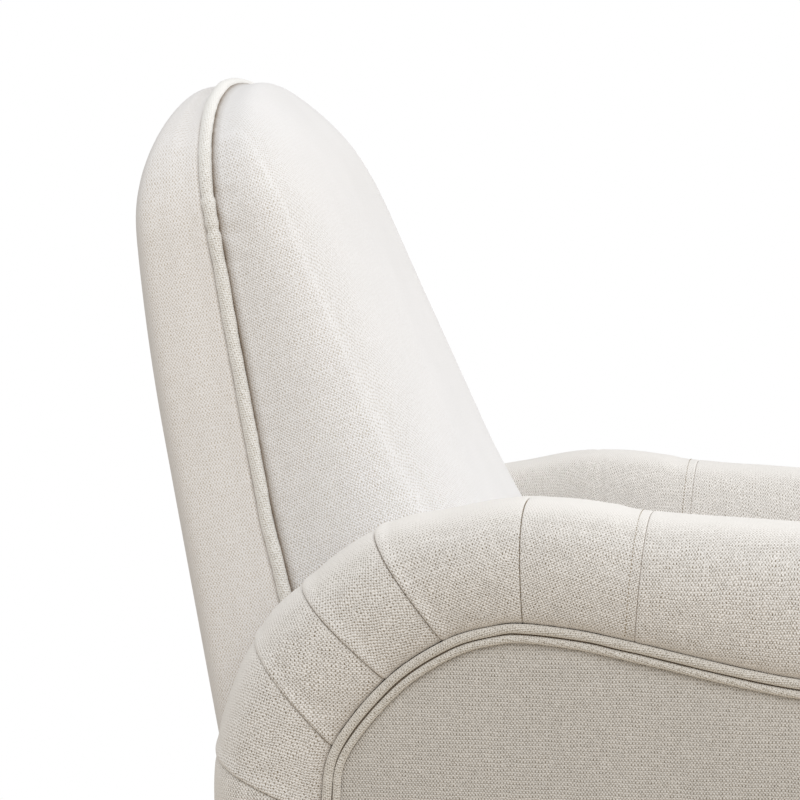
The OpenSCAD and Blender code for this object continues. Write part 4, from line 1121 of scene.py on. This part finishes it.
def front_pad(name):
    """The front under the seat cushion: cloth over a thin pad on the front board, turned under at the hem."""
    lo, hi = np.array([-SEAT_HALF, -425.5, HEM + 0.5]), np.array([SEAT_HALF, -411.0, SEAT_LOW - 3])
    obj = start_from(bpy.ops.mesh.primitive_cube_add, name, size=1, location=tuple((lo + hi) / 2 * MM),
                     scale=tuple((hi - lo) * MM))
    bpy.ops.object.transform_apply(location=True, rotation=True, scale=True)
    edit(obj, (bpy.ops.mesh.bevel, {"offset": 5.0 * MM, "segments": 4, "affect": "EDGES"}))
    edit(obj, (bpy.ops.mesh.subdivide, {"number_cuts": 10}))
    p = places(obj) / MM
    inside = np.minimum.reduce([p[:, 0] - lo[0], hi[0] - p[:, 0], p[:, 2] - lo[2], hi[2] - p[:, 2]])
    front = p[:, 1] < (lo[1] + hi[1]) / 2
    p[:, 1] -= front * (3.5 * (1 - np.exp(-inside / 35.0)) + 0.5 * wobble(p, 110.0, 1.1) * ease(4, 30, inside))
    put(obj, p * MM)
    lay_flat(obj, 0.0, over_box)
    return smooth(obj)


apron = front_pad("front_apron_cover")
dress(apron, soft_linen, replaces=["front_apron"])

# ---------- floor, backdrop and light ----------


def white_stage():
    """Pale matt floor that keeps a soft shadow, and a white surround."""
    floor = start_from(bpy.ops.mesh.primitive_circle_add, "studio_floor", vertices=96, radius=7.0,
                       fill_type="NGON", location=(0, 0, -0.0005))
    bpy.ops.object.transform_apply(location=True, rotation=True, scale=True)
    material, tree, shader, place = finish("white_painted_floor", Roughness=0.8)
    cloud = add(tree, "TexNoise", {"Vector": place, "Scale": 3.0, "Detail": 3.0})
    two_tone(shader, cloud, "#C2B5A3", "#CABFAE")
    # seen from the camera the floor fades to plain white away from the chair
    far = add(tree, "VectorMath", {0: place}, operation="LENGTH").outputs["Value"]
    fade = add(tree, "MapRange", {"Value": far, "From Min": 0.5, "From Max": 1.3,
                                  "To Min": 0.62, "To Max": 1.0}, interpolation_type="SMOOTHSTEP")
    to_camera = add(tree, "LightPath").outputs["Is Camera Ray"]
    share = add(tree, "Math", {0: to_camera, 1: fade}, operation="MULTIPLY")
    glow = add(tree, "Emission", {"Color": (1, 1, 1, 1), "Strength": 1.0})
    mix = add(tree, "MixShader", {0: share, 1: shader, 2: glow})
    feed(tree.nodes["Material Output"], {"Surface": mix})
    floor.data.materials.append(material)
    world = bpy.data.worlds.new("white_surround")
    world.use_nodes = True
    scene.world = world
    tree = world.node_tree
    ray = add(tree, "LightPath").outputs
    seen = add(tree, "Math", {0: ray["Is Camera Ray"], 1: ray["Is Glossy Ray"]}, operation="MAXIMUM")
    seen = add(tree, "Math", {0: seen, 1: ray["Is Transmission Ray"]}, operation="MAXIMUM")
    # plain white where it is seen, and a little dimmer and warmer where it only lights
    tint = add(tree, "Mix", {0: seen, FIRST: (1.0, 0.995, 0.985, 1), SECOND: (1, 1, 1, 1)}, data_type="RGBA")
    feed(tree.nodes["Background"], {
        "Color": tint.outputs[MIXED],
        "Strength": add(tree, "MapRange", {"Value": seen, "To Min": SURROUND, "To Max": 1.0})})


def soft_box(name, place, aim, size, power):
    data = bpy.data.lights.new(name, "AREA")
    data.shape, data.size, data.energy = "SQUARE", size, power
    aimed(name, data, place, Vector(aim) - Vector(place))


SURROUND = 0.57
white_stage()
soft_box("key", (-2.5, -0.5, 2.7), (0, 0, 0.7), 2.2, 44.0)
soft_box("fill", (0.4, -2.9, 1.9), (0, 0, 0.7), 2.0, 31.0)

scene.view_settings.view_transform = "Standard"
